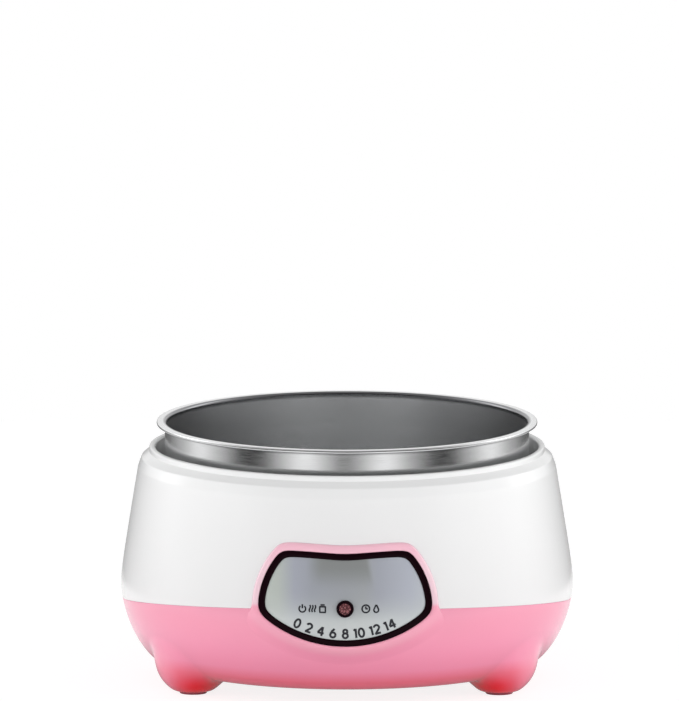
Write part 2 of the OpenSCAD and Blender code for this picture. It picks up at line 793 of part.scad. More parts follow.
// A saddle that holds the fuse's sleeve against the warm plate.
module fuse_clip() {
    color("darkgray")
    difference() {
        translate([fuse_x, clip_y - clip_w / 2, 0]) {
            translate([0, 0, fuse_z]) along_y(0) cylinder(r = sleeve_r + clip_t, h = clip_w);
            translate([sleeve_r, 0, plate_under_z - clip_t]) cube([clip_ear_l, clip_w, clip_t]);
            translate([-sleeve_r - clip_t, 0, fuse_z]) cube([clip_t, clip_w, plate_under_z - fuse_z]);
            translate([sleeve_r, 0, fuse_z]) cube([clip_t, clip_w, plate_under_z - fuse_z]);
        }
        translate([fuse_x, clip_y, fuse_z]) {
            along_y(-clip_w) cylinder(r = sleeve_r + touch, h = 2 * clip_w);
            translate([-sleeve_r - touch, -clip_w, 0]) cube([2 * (sleeve_r + touch), 2 * clip_w, 20]);
        }
        translate([fuse_x - 20, clip_y - 20, plate_under_z]) cube([40, 40, 20]);
        translate([clip_stud_x, clip_y, 0]) cylinder(r = stud_r + touch, h = 40);
    }
}

// ---------- mains inlet ----------

module inlet_outline(w, h, r) {
    polygon(rounded([[w / 2, inlet_z - h / 2, r], [w / 2, inlet_z + h / 2, r],
                     [-w / 2, inlet_z + h / 2, r], [-w / 2, inlet_z - h / 2, r]]));
}

module at_pins(y) { for (x = [-pin_gap / 2, pin_gap / 2]) translate([x, y, inlet_z]) children(); }

module inlet_body() {
    front_y = pod_y + flange_t;
    color("dimgray")
    difference() {
        union() {
            translate([0, front_y, 0]) rotate([90, 0, 0]) linear_extrude(flange_t)
                inlet_outline(flange_w, flange_h, 3);
            translate([0, pod_y, 0]) rotate([90, 0, 0]) linear_extrude(inlet_d)
                inlet_outline(inlet_w, inlet_h, 1);
            translate([-inlet_w / 2 - snap_h, pod_y - wall - touch - snap_l, inlet_z - inlet_h / 4])
                cube([inlet_w + 2 * snap_h, snap_l, inlet_h / 2]);
        }
        at_pins(front_y - socket_d) rotate([-90, 0, 0]) cylinder(r = lobe_r, h = socket_d + 1);
        translate([-pin_gap / 2, front_y - socket_d, inlet_z - waist_h / 2])
            cube([pin_gap, socket_d + 1, waist_h]);
        at_pins(inlet_back_y - 1) rotate([-90, 0, 0]) cylinder(r = pin_stem_r + touch / 2, h = inlet_d);
    }
}

module inlet_pins() {
    socket_floor_y = pod_y + flange_t - socket_d;
    color("silver")
    at_pins(0) {
        translate([0, inlet_back_y - 0.9, 0]) rotate([-90, 0, 0])
            cylinder(r = pin_stem_r, h = socket_floor_y - inlet_back_y + 0.9);
        translate([0, socket_floor_y - 1, 0]) rotate([-90, 0, 0]) cylinder(r = pin_r, h = pin_l + 1);
        translate([-tab_w / 2, inlet_back_y - tab_l, -tab_t / 2]) cube([tab_w, tab_l - 0.5, tab_t]);
    }
}

module terminal_sleeves() {
    color("lightblue")
    at_pins(inlet_back_y - tab_l - 1) difference() {
        translate([-tab_w / 2 - 0.4, 0, -tab_t / 2 - 1]) cube([tab_w + 0.8, tab_l, tab_t + 2]);
        translate([-tab_w / 2 - touch, 0.9, -tab_t / 2 - touch])
            cube([tab_w + 2 * touch, tab_l, tab_t + 2 * touch]);
    }
}

// ---------- wires ----------
// The wires run just above the base's floor, clear of the warm plate's flange.

wire_z = floor_top_z + wire_r + 0.5;
tab_end_y = inlet_back_y - tab_l - 1;
cap_bore = 2.2 * wire_r + 0.3;          // three wires fit side by side
cap_r = cap_bore + 0.6;
cap_l = 11;
cap_z = floor_top_z + cap_r + 0.4;
cap_ring_r = flange_r + cap_r + 0.6;
cap_front_a = 247;                      // direction of the front cap's mouth, which faces the front
cap_back_a = 67;                        // direction of the back cap's mouth, which faces the inlet
strand = 1.2 * wire_r;                  // distance of each wire from the middle of a cap's mouth
resistor_r = 1.2;
resistor_l = 6.4;
resistor_x = 14;
resistor_y = -(floor_r - 5.5);
bulb_end_y = lamp_y + lens_l - bezel_proud + bulb_gap + bulb_l;
run_y = -(lip_in_r + well_t + lead_r + 0.6);                    // lamp leads, beside the well
side_run_x = floor_r - 14.5;                                    // lamp lead, past the right feet

// Place of the k-th of three wires in the mouth of the cap at angle a, at a depth inside it.
function slot(a, k, depth) =
    let (out = cap_ring_r + strand * cos(90 + 120 * k))
    [out * cos(a) + depth * sin(a), out * sin(a) - depth * cos(a), cap_z + strand * sin(90 + 120 * k)];

module live_wire() {
    color("firebrick")
    wire([[-pin_gap / 2, tab_end_y, inlet_z], [-pin_gap / 2, tab_end_y - 2.5, inlet_z],
          [-6, tab_end_y - 5.5, wire_z + 3.5], [-11, 47, wire_z + 0.4], [-21, 37, wire_z],
          [fuse_x + 1, 28.5, wire_z + 0.5], [fuse_x, fuse_end_y + 7, wire_z + 4],
          [fuse_x, fuse_end_y + 3, fuse_z], [fuse_x, fuse_end_y, fuse_z]], wire_r);
}

module neutral_wire() {
    color("navy")
    wire([[pin_gap / 2, tab_end_y, inlet_z], [pin_gap / 2, tab_end_y - 2.5, inlet_z],
          [6, tab_end_y - 5, wire_z + 5.5],
          slot(cap_back_a, 0, -6), slot(cap_back_a, 0, 0), slot(cap_back_a, 0, 5)], wire_r);
}

module heater_leads() {
    end_y = heater_l / 2 + touch;
    mid_z = heater_bottom_z + heater_h / 2;
    color("ivory") {
        wire([[-4, -end_y, mid_z], [-4, -end_y - 2.5, mid_z], [-3.5, -36, wire_z + 1],
              [-6, -46, wire_z + 0.6],
              slot(cap_front_a, 0, -7), slot(cap_front_a, 0, 0), slot(cap_front_a, 0, 5)], wire_r);
        wire([[5, end_y, mid_z], [5, end_y + 2.5, mid_z], [5, 35, wire_z + 1], [6.5, 43, wire_z + 0.2],
              [11, 49.5, wire_z + 0.7],
              slot(cap_back_a, 1, -4), slot(cap_back_a, 1, 0), slot(cap_back_a, 1, 5)], wire_r);
        wire([[fuse_x, -fuse_end_y, fuse_z], [fuse_x, -fuse_end_y - 3, fuse_z], [-26, -29, wire_z + 1],
              [-20, -37, wire_z], [-13, -43, wire_z], [-11, -47, wire_z],
              slot(cap_front_a, 1, -3.5), slot(cap_front_a, 1, 0), slot(cap_front_a, 1, 5)], wire_r);
    }
}

// A closed cap crimped over three wire ends.
module splice_cap() {
    difference() {
        cylinder(r1 = cap_r, r2 = cap_r * 0.85, h = cap_l);
        translate([0, 0, -1]) cylinder(r = cap_bore, h = 7);
    }
}

module splice_caps() {
    color("whitesmoke")
    for (a = [cap_front_a, cap_back_a])
        rotate([0, 0, a]) translate([cap_ring_r, 0, cap_z]) rotate([90, 0, 0]) splice_cap();
}

module lamp_leads() {
    color("dimgray") {
        wire([[-0.9, bulb_end_y, lamp_z], [-0.9, bulb_end_y + 0.8, lamp_z], [-1, run_y, lamp_z - 1.6],
              [-1.6, run_y, 32], [-4, run_y + 7, 18], [-8, resistor_y, wire_z + 2],
              slot(cap_front_a, 2, -5) + [0, -1, 0],
              slot(cap_front_a, 2, 0), slot(cap_front_a, 2, 5)], lead_r);
        wire([[0.9, bulb_end_y, lamp_z], [0.9, bulb_end_y + 0.8, lamp_z], [1, run_y, lamp_z - 1.6],
              [1.6, run_y, 32], [5, run_y + 7, 18], [8, resistor_y - 0.6, wire_z + 2],
              [resistor_x - 2, resistor_y, wire_z], [resistor_x, resistor_y, wire_z]], lead_r);
        wire([[resistor_x + resistor_l, resistor_y, wire_z],
              [resistor_x + resistor_l + 4, resistor_y, wire_z],
              [38, -45, wire_z], [side_run_x, -12, wire_z], [side_run_x, 12, wire_z], [44, 32, wire_z],
              [35, 48, wire_z], [23, 56, wire_z], [14.5, 56, wire_z + 0.4], [13.5, 53, wire_z + 1],
              slot(cap_back_a, 2, -4), slot(cap_back_a, 2, 0), slot(cap_back_a, 2, 5)], lead_r);
    }
}

module lamp_resistor() {
    color("tan")
    translate([resistor_x + touch, resistor_y, wire_z]) rotate([0, 90, 0])
        cylinder(r = resistor_r, h = resistor_l - 2 * touch);
}

module well_screws() { color("gray") at_posts() translate([0, 0, ear_z]) screw(well_shank_l); }
module base_screws() { color("gray") at_feet() translate([0, 0, head_seat_z]) screw(shank_l); }

upper_shell();
base_shell();
panel_frame();
panel_face();
lamp_bezel();
lamp_lens();
lamp_bulb();
lamp_retainer();
lamp_resistor();
lamp_leads();
liner();
well();
warm_plate();
heater_block();
heater_clamp();
clamp_nuts();
plate_screws();
thermal_fuse();
fuse_sleeve();
fuse_clip();
inlet_body();
inlet_pins();
terminal_sleeves();
live_wire();
neutral_wire();
heater_leads();
splice_caps();
well_screws();
base_screws();
foot_pads();
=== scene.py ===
"""Looks of the yogurt maker: its visible surfaces, materials, light and camera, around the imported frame."""
import json
import math

import bmesh
import bpy
import numpy as np
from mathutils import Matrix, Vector

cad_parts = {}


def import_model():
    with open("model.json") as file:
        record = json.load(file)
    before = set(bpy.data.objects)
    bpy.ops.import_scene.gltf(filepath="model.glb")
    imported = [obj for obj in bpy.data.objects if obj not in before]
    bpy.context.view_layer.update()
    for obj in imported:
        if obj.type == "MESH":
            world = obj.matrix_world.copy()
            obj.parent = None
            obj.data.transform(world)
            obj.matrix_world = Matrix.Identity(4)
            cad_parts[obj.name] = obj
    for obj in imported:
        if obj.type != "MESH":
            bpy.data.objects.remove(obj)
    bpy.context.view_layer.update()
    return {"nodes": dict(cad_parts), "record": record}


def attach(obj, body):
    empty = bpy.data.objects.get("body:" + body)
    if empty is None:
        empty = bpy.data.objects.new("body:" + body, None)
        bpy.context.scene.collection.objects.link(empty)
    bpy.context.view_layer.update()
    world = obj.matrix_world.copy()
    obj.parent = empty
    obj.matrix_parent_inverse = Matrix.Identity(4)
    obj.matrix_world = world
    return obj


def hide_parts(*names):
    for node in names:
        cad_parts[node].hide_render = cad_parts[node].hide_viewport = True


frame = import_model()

# ---------- sizes of the part, in millimetres ----------

MM = 0.001

BODY_R, BELT_Z, BODY_H = 82.5, 36.0, 86.6
FLOOR_R, FLOOR_Z, BOWL_POWER = 65.5, 6.7, 1.7
SIDE_SOFTNESS = 0.12
WALL = 2.4
LIP_IN_R, COLLAR_R, LEDGE_R, NECK_R = 69.9, 72.2, 75.0, 76.3
SHOULDER_Z, LEDGE_OUT_Z, LEDGE_IN_Z, SKIRT_Z = 78.8, 82.4, 84.6, 79.0
# Unlike the part's source, the seam is finer and its tongue larger
SEAM_SIDE_Z, SEAM_RISE, SEAM_BEND_R, SEAM_GAP = 31.0, 8.8, 160.0, 0.05
TONGUE_H, TONGUE_T, TONGUE_GAP = 3.5, 1.4, 0.2

FOOT_R, FOOT_LIFT, FOOT_RING_R, FOOT_SPREAD = 14.0, 13.2, 64.5, 60.0
FOOT_BLEND = 4.0                    # how far a foot's crease with the bowl is rounded
PAD_R, PAD_H = 5.0, 0.8
FOOT_ANGLES = [math.radians(middle + side * FOOT_SPREAD) for middle in (270, 90) for side in (-1, 1)]
FOOT_CENTRES = [FOOT_RING_R * np.array([math.cos(a), math.sin(a), 0.0]) for a in FOOT_ANGLES]

LINER_R, LINER_T, LINER_CORNER_R = 65.9, 0.6, 12.0
LINER_Z0, RIM_TOP_Z, RIM_R, RIM_H, HEM_W = 22.15, 95.6, 69.5, 1.3, 1.6

PANEL_R, PANEL_Z, PANEL_TOP_Z, PANEL_DIP = 32.0, 38.0, 60.4, 1.1
PANEL_LOW_Z, PANEL_LOW_R, PANEL_POWER = 25.0, 48.2, 26
PANEL_MID_Z = PANEL_Z + 4
FRAME_W, BORDER_W, BORDER_SIDE_W = 2.2, 2.9, 2.2
BORDER_PROUD, FRAME_PROUD, FACE_PROUD, PANEL_SINK = 1.5, 1.1, 0.6, 0.9
FRAME_LIP = 0.3                     # how far the frame laps onto the face

LAMP_Z, LENS_R, BEZEL_W, BEZEL_PROUD, BARREL_R = 39.3, 2.1, 1.1, 0.9, 2.8

POD_HALF_W, POD_LOW_Z, POD_HIGH_Z, POD_Y, POD_ROUND = 16.0, 9.4, 27.4, 81.5, 5.0
INLET_Z, INLET_W, INLET_H = 18.5, 20.9, 10.0

AROUND = 360                        # segments of the body's rings
PANEL_STEPS = 480                   # segments of the panel's rings
SMALL_STEPS = 64                    # segments of the rings of small round pieces
# The rings that close turned pieces at their axis
POLE_R, LINER_POLE_R, PAD_POLE_R, LENS_POLE_R = 1.0, 0.8, 0.4, 0.3


# ---------- shapes shared with the part's source ----------

def bowl_radius(z):
    drop = np.clip((BELT_Z - z) / (BELT_Z - FLOOR_Z), 0, 1)
    return FLOOR_R + (BODY_R - FLOOR_R) * (1 - drop ** BOWL_POWER) ** (1 / BOWL_POWER)


def side_radius(z):
    up = np.maximum(z - BELT_Z, 0) / (SHOULDER_Z - BELT_Z)
    whole = math.sqrt(1 + SIDE_SOFTNESS ** 2) - SIDE_SOFTNESS
    share = (np.sqrt(up ** 2 + SIDE_SOFTNESS ** 2) - SIDE_SOFTNESS) / whole
    return BODY_R - (BODY_R - NECK_R) * share


def body_radius(z):
    z = np.asarray(z, float)
    return np.where(z < BELT_Z, bowl_radius(z), side_radius(z))


def seam_z(y):
    """Height of the seam at depth y: two slopes that meet in a wide bend."""
    slope = math.atan(SEAM_RISE / BODY_R)
    bend_y = SEAM_BEND_R * math.sin(slope)
    y = np.abs(y)
    bend = SEAM_SIDE_Z + SEAM_BEND_R - np.sqrt(SEAM_BEND_R ** 2 - np.minimum(y, bend_y) ** 2)
    return bend + np.maximum(y - bend_y, 0) * math.tan(slope)


SEAM_ROUNDS = 4                     # rounds in which the seam's height settles


def seam_at(theta):
    """Height of the seam on the body's surface, in the direction theta."""
    z = np.full_like(theta, SEAM_SIDE_Z)
    for _ in range(SEAM_ROUNDS):
        z = seam_z(body_radius(z) * np.sin(theta))
    return z


FLAT_RISE, OUT_OF_REACH, DIP_POWER = 0.05, 1000.0, 4


def panel_reach(a, grow=0.0, side=None):
    """Distance of the panel's outline from its middle in the direction a.

    The outline is moved outward by grow, or by side at its sides. Its top edge counts only in directions that
    rise by more than FLAT_RISE.
    """
    def circle(centre_z, r):
        o = PANEL_MID_Z - centre_z
        return -o * np.sin(a) + np.sqrt(r ** 2 - (o * np.cos(a)) ** 2)
    rise = np.where(np.sin(a) > FLAT_RISE, np.sin(a), FLAT_RISE)
    top = (PANEL_TOP_Z + grow - PANEL_MID_Z - PANEL_DIP * rise ** DIP_POWER) / rise
    top = np.where(np.sin(a) > FLAT_RISE, top, OUT_OF_REACH)
    near = np.array([circle(PANEL_Z, PANEL_R + (grow if side is None else side)),
                     circle(PANEL_LOW_Z + PANEL_LOW_R, PANEL_LOW_R + grow), top])
    least = near.min(0)
    return least * ((least / near) ** PANEL_POWER).sum(0) ** (-1 / PANEL_POWER)


def on_front(x, z, proud):
    """The point of the body's front at (x, z), raised by proud."""
    r = body_radius(z) + proud
    return np.stack([x, -np.sqrt(r ** 2 - x ** 2), z], -1)


def rounded(corners, chords=8):
    """A closed outline from corners (x, y, fillet radius)."""
    points = []
    for i, (x, y, r) in enumerate(corners):
        q = np.array([x, y])
        if r <= 0:
            points.append(q)
            continue
        u = np.array(corners[i - 1][:2]) - q
        v = np.array(corners[(i + 1) % len(corners)][:2]) - q
        u, v = u / np.linalg.norm(u), v / np.linalg.norm(v)
        half = math.acos(np.clip(u @ v, -1, 1)) / 2
        centre = q + (u + v) / np.linalg.norm(u + v) * r / math.sin(half)
        start, end = q + u * r / math.tan(half) - centre, q + v * r / math.tan(half) - centre
        a0 = math.atan2(start[1], start[0])
        turn = math.atan2(start[0] * end[1] - start[1] * end[0], start @ end)
        points += [centre + r * np.array([math.cos(a0 + turn * k / chords), math.sin(a0 + turn * k / chords)])
                   for k in range(chords + 1)]
    return np.array(points)


# ---------- meshes ----------

SHARP_ANGLE, NODE_SHARP_ANGLE = 40, 30              # degrees from which an edge is shaded sharp


def in_scene(name, data):
    """A new object in the scene."""
    thing = bpy.data.objects.new(name, data)
    bpy.context.scene.collection.objects.link(thing)
    return thing


def new_piece(name, points, faces, material, body="cooker", stands_for=(), slot=None):
    """A closed mesh from points in millimetres, riding on a body and standing for CAD nodes."""
    mesh = bpy.data.meshes.new(name)
    mesh.from_pydata((np.asarray(points) * MM).tolist(), [], faces)
    tidy_mesh(mesh)
    piece = in_scene(name, mesh)
    mesh.materials.append(material)
    if body:
        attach(piece, body)
        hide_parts(*stands_for)
    return piece


def tidy_mesh(mesh):
    """Turns all faces outward and shades the mesh smooth, apart from its sharp edges."""
    grid = bmesh.new()
    grid.from_mesh(mesh)
    bmesh.ops.recalc_face_normals(grid, faces=grid.faces)
    grid.to_mesh(mesh)
    grid.free()
    mesh.shade_smooth()
    mesh.set_sharp_from_angle(angle=math.radians(SHARP_ANGLE))


def ring_faces(count, size, wrap=False):
    """Quads between count rings of size points; wrap joins the last ring to the first one."""
    faces = []
    for i in range(count if wrap else count - 1):
        a, b = i * size, (i + 1) % count * size
        faces += [(a + k, a + (k + 1) % size, b + (k + 1) % size, b + k) for k in range(size)]
    return faces


def skin(rings, wrap=True, poles=False):
    """Points and faces of a surface through rings, closed on itself or at a pole at each end."""
    rings = np.asarray(rings, float)
    count, size = rings.shape[:2]
    points, faces = rings.reshape(-1, 3), ring_faces(count, size, wrap)
    if poles:
        ends = [rings[0].mean(0), rings[-1].mean(0)]
        last = (count - 1) * size
        faces += [(len(points), (k + 1) % size, k) for k in range(size)]
        faces += [(len(points) + 1, last + k, last + (k + 1) % size) for k in range(size)]
        points = np.concatenate([points, ends])
    return points, faces


def circle_angles(n):
    return np.arange(n) * 2 * math.pi / n


def turned(profile, theta=None):
    """Rings of a profile of (radius, height) turned round the vertical axis."""
    theta = circle_angles(AROUND) if theta is None else theta
    return [np.stack([r * np.cos(theta), r * np.sin(theta), np.full_like(theta, z)], -1) for r, z in profile]


def along_depth(points, centre, y0=0.0):
    """Turned rings laid so that their axis runs along Y through centre = (x, z)."""
    points = np.asarray(points, float)
    return np.stack([centre[0] + points[..., 0], y0 + points[..., 2], centre[1] - points[..., 1]], -1)


def combine(piece, other, operation):
    """Joins other to the piece or cuts it out of it."""
    step = piece.modifiers.new("combine", "BOOLEAN")
    step.object, step.operation, step.solver = other, operation, "MANIFOLD"
    shown = piece.evaluated_get(bpy.context.evaluated_depsgraph_get())
    mesh = bpy.data.meshes.new_from_object(shown)
    materials = list(piece.data.materials)
    piece.modifiers.clear()
    piece.data = mesh
    mesh.materials.clear()
    for material in materials:
        mesh.materials.append(material)
    tidy_mesh(mesh)
    bpy.data.objects.remove(other)


def cutter(name, rings):
    """A closed solid that a boolean uses up."""
    return new_piece(name, *skin(rings, wrap=False, poles=True), MATERIALS["pink_plastic"], body=None)


# ---------- materials ----------

MIX_SHARE, MIX_A, MIX_B, MIX_RESULT = 0, 6, 7, 2       # sockets of a colour mix
NOISE_LOW, NOISE_HIGH = 0.35, 0.65                      # the range that noise mostly fills
WHITE = (1.0, 1.0, 1.0)


class Nodes:
    """A short way to write a node tree."""

    def __init__(self, tree):
        self.tree = tree
        tree.nodes.clear()

    def add(self, kind, inputs=None, **settings):
        """A node with these settings, its inputs linked or set."""
        node = self.tree.nodes.new(kind)
        for key, value in settings.items():
            setattr(node, key, value)
        for key, value in (inputs or {}).items():
            if isinstance(value, bpy.types.NodeSocket):
                self.tree.links.new(value, node.inputs[key])
            else:
                node.inputs[key].default_value = value
        return node

    def math(self, operation, *values):
        return self.add("ShaderNodeMath", dict(enumerate(values)), operation=operation).outputs[0]

    def times(self, *factors):
        product = factors[0]
        for factor in factors[1:]:
            product = self.math("MULTIPLY", product, factor)
        return product

    def scaled(self, color, share):
        return self.add("ShaderNodeVectorMath", {0: color, "Scale": share}, operation="SCALE").outputs[0]

    def place(self, kind="Object"):
        return self.add("ShaderNodeTexCoord").outputs[kind]

    def axes(self, vector):
        return self.add("ShaderNodeSeparateXYZ", {0: vector}).outputs

    def noise(self, vector, scale, detail=2.0):
        inputs = {"Vector": vector, "Scale": scale, "Detail": detail}
        return self.add("ShaderNodeTexNoise", inputs).outputs["Fac"]

    def bump(self, height, strength, depth):
        """A relief of this strength, and this depth in metres."""
        inputs = {"Height": height, "Strength": strength, "Distance": depth}
        return self.add("ShaderNodeBump", inputs).outputs[0]

    def map(self, value, start, end, low=0.0, high=1.0, easing="LINEAR"):
        """low at start and high at end."""
        inputs = {"Value": value, "From Min": start, "From Max": end, "To Min": low, "To Max": high}
        return self.add("ShaderNodeMapRange", inputs, interpolation_type=easing).outputs["Result"]

    def smooth(self, value, start, end):
        """0 at start and 1 at end, with soft ends."""
        return self.map(value, start, end, easing="SMOOTHSTEP")

    def ramp(self, value, stops, easing="LINEAR"):
        """Colours by value: stops are (value, colour)."""
        first, last = stops[0][0], stops[-1][0]
        node = self.add("ShaderNodeValToRGB", {0: self.map(value, first, last)})
        node.color_ramp.interpolation = easing
        marks = node.color_ramp.elements
        while len(marks) < len(stops):
            marks.new(0.5)
        for mark, (place, color) in zip(marks, stops):
            mark.position, mark.color = (place - first) / (last - first), rgba(color)
        return node.outputs[0]

    def far(self, x, y):
        """Length of (x, y)."""
        return self.math("SQRT", self.math("ADD", self.times(x, x), self.times(y, y)))

    def spread(self, noise, low, high):
        """Noise spread out from low to high."""
        return self.map(noise, NOISE_LOW, NOISE_HIGH, low, high)

    def blend(self, share, a, b):
        """Colour a where share is 0, and b where it is 1."""
        inputs = {MIX_SHARE: share, MIX_A: a, MIX_B: b}
        return self.add("ShaderNodeMix", inputs, data_type="RGBA").outputs[MIX_RESULT]


def rgba(color):
    return (*color, 1.0)


def shade(color, share):
    return rgba([c * share for c in color])


def new_material(name):
    material = bpy.data.materials.new(name)
    material.use_nodes = True
    return material, Nodes(material.node_tree)


def finish_material(nodes, inputs):
    shader = nodes.add("ShaderNodeBsdfPrincipled", inputs)
    nodes.add("ShaderNodeOutputMaterial", {"Surface": shader.outputs[0]})


GRAIN_DETAIL, GRAIN_DEPTH = 3.0, 0.0002                 # of the fine grain on moulded pieces
DRIFT_SCALE, ROUGH_LEAST, ROUGH_MOST = 38.0, 0.9, 1.12


def moulded(name, color, rough, grain=1400, relief=0.02, vary=0.02, metallic=0.0, **extra):
    """Plastic, rubber, fibre or plain metal: a fine grain, and a slow drift of colour and gloss."""
    material, nodes = new_material(name)
    place = nodes.place()
    fine = nodes.noise(place, grain, GRAIN_DETAIL)
    slow = nodes.noise(place, DRIFT_SCALE)
    finish_material(nodes, {
        "Base Color": nodes.blend(nodes.spread(slow, 0, 1), shade(color, 1 - vary), shade(color, 1 + vary)),
        "Roughness": nodes.spread(fine, rough * ROUGH_LEAST, rough * ROUGH_MOST),
        "Normal": nodes.bump(fine, relief, GRAIN_DEPTH), "Metallic": metallic, **extra})
    return material


# The steel's tones, and the painted dark reflection just inside its rim
STEEL_DARK, STEEL_LIGHT, STEEL_PAINTED_DARK_REFLECTION = (0.79, 0.795, 0.80), (0.83, 0.835, 0.84), (0.25, 0.25, 0.26)
STEEL_LINES, STEEL_DETAIL, STEEL_BANDS, STEEL_LINE_TURN = 2600.0, 4.0, 240.0, 0.004
STEEL_ROUGH, STEEL_STRETCH, STEEL_RELIEF = (0.18, 0.23), 0.7, (0.05, 0.0001)
PAINTED_REFLECTION_REACH = ((LINER_R + 1.6) * MM, (LINER_R + 0.6) * MM)       # where the painted dark reflection inside the rim fades in
PAINTED_REFLECTION_HEIGHT = ((RIM_TOP_Z - 2.6) * MM, (RIM_TOP_Z - 1.2) * MM)


def brushed_steel():
    """Spun, satin-finished stainless steel: fine rings round the axis, and a painted dark reflection just
    inside the rim.
    """
    material, nodes = new_material("stainless_steel")
    axes = nodes.axes(nodes.place())
    reach = nodes.far(axes[0], axes[1])
    along = nodes.math("ADD", axes[2], reach)
    turn = nodes.times(nodes.math("ARCTAN2", axes[1], axes[0]), STEEL_LINE_TURN)
    line = nodes.add("ShaderNodeCombineXYZ", {0: along, 1: turn}).outputs[0]
    fine = nodes.noise(line, STEEL_LINES, STEEL_DETAIL)
    bands = nodes.spread(nodes.noise(line, STEEL_BANDS), 0, 1)
    tone = nodes.blend(bands, rgba(STEEL_DARK), rgba(STEEL_LIGHT))
    # Painted dark reflection on the steel just inside the rim
    inner = nodes.times(nodes.smooth(reach, *PAINTED_REFLECTION_REACH), nodes.smooth(axes[2], *PAINTED_REFLECTION_HEIGHT))
    tangent = nodes.add("ShaderNodeTangent", direction_type="RADIAL", axis="Z").outputs[0]
    finish_material(nodes, {
        "Base Color": nodes.blend(inner, tone, rgba(STEEL_PAINTED_DARK_REFLECTION)), "Metallic": 1.0,
        "Roughness": nodes.spread(fine, *STEEL_ROUGH), "Anisotropic": STEEL_STRETCH, "Tangent": tangent,
        "Normal": nodes.bump(fine, *STEEL_RELIEF)})
    return material


# Pink of the base by height in metres, with painted shade that darkens and deepens it toward the bottom, and
# the places, in metres too, where the painted shade and light on the feet and the painted highlights on the
# border fade in
PINK_SHADED_BY_HEIGHT = ((0.0, (0.84, 0.15, 0.22)), (0.005, (0.88, 0.165, 0.24)), (0.010, (0.94, 0.19, 0.28)),
                  (0.0145, (0.98, 0.315, 0.475)), (0.022, (0.98, 0.33, 0.49)), (0.032, (0.97, 0.35, 0.49)),
                  (0.041, (0.97, 0.39, 0.53)))
# Painted shade on a foot's inner side, and painted light on its outer side
PINK_FOOT_SHADE, PINK_FOOT_LIT = (0.97, 0.0, 0.02), (0.97, 0.37, 0.50)      # a foot's inner and outer side
SHADED_FOOT_OUT, SHADED_FOOT_IN, SHADED_FOOT_TOP = (0.066, 0.054), (0.040, 0.048), (0.011, 0.003)
LIT_FOOT_IN, LIT_FOOT_TOP, LIT_FOOT_SHARE = (0.060, 0.068), (0.021, 0.014), 0.6
# Painted highlights on the border: above the seam, below it, and at its sides
PINK_RIM_HIGHLIGHT, PINK_LOW_RIM_HIGHLIGHT, PINK_SIDE_HIGHLIGHT = (0.97, 0.55, 0.66), (0.97, 0.40, 0.53), (0.94, 0.66, 0.74)
BORDER_SEAM, BORDER_NEAR, BORDER_SIDE = (0.039, 0.041), (0.0048, 0.0018), (0.024, 0.031)
PINK_GRAIN, PINK_DRIFT, PINK_DRIFT_RANGE = 1500.0, 30.0, (0.99, 1.01)
PINK_ROUGH, PINK_RELIEF = (0.2, 0.26), (0.02, GRAIN_DEPTH)


def border_highlights(nodes, axes, across, tone):
    """Painted highlights: the lighter tones on and close to the border's outline."""
    low_circle = nodes.far(axes[0], nodes.math("SUBTRACT", axes[2], (PANEL_LOW_Z + PANEL_LOW_R) * MM))
    side_circle = nodes.far(axes[0], nodes.math("SUBTRACT", axes[2], PANEL_Z * MM))
    away = nodes.math("MAXIMUM", nodes.math("SUBTRACT", low_circle, PANEL_LOW_R * MM),
                      nodes.math("SUBTRACT", side_circle, PANEL_R * MM))
    above = nodes.smooth(axes[2], *BORDER_SEAM)
    near = nodes.math("MAXIMUM", above, nodes.smooth(away, *BORDER_NEAR))
    tone = nodes.blend(near, tone, nodes.blend(above, rgba(PINK_LOW_RIM_HIGHLIGHT), rgba(PINK_RIM_HIGHLIGHT)))
    side = nodes.times(above, nodes.smooth(across, *BORDER_SIDE))
    return nodes.blend(side, tone, rgba(PINK_SIDE_HIGHLIGHT))


def pink_plastic(name, on_border=False):
    """Glossy pink plastic with painted shade, deeper toward the feet and on a foot's inner side, painted
    light on a foot's outer side, and painted highlights on the border round the panel.
    """
    material, nodes = new_material(name)
    place = nodes.place()
    axes = nodes.axes(place)
    across = nodes.math("ABSOLUTE", axes[0])
    # Painted shade: darker and deeper toward the bottom
    tone = nodes.ramp(axes[2], PINK_SHADED_BY_HEIGHT)
    # Painted shade on a foot's inner side, then painted light on its outer side
    shaded_foot = nodes.times(nodes.smooth(across, *SHADED_FOOT_OUT), nodes.smooth(across, *SHADED_FOOT_IN),
                             nodes.smooth(axes[2], *SHADED_FOOT_TOP))
    tone = nodes.blend(shaded_foot, tone, rgba(PINK_FOOT_SHADE))
    lit_foot = nodes.times(nodes.smooth(across, *LIT_FOOT_IN), nodes.smooth(axes[2], *LIT_FOOT_TOP),
                             LIT_FOOT_SHARE)
    tone = nodes.blend(lit_foot, tone, rgba(PINK_FOOT_LIT))
    if on_border:
        tone = border_highlights(nodes, axes, across, tone)
    fine = nodes.noise(place, PINK_GRAIN, GRAIN_DETAIL)
    slow = nodes.spread(nodes.noise(place, PINK_DRIFT), *PINK_DRIFT_RANGE)
    finish_material(nodes, {
        "Base Color": nodes.add("ShaderNodeHueSaturation", {"Value": slow, "Color": tone}).outputs[0],
        "Roughness": nodes.spread(fine, *PINK_ROUGH), "Normal": nodes.bump(fine, *PINK_RELIEF),
        "Coat Weight": 0.4, "Coat Roughness": 0.1})
    return material


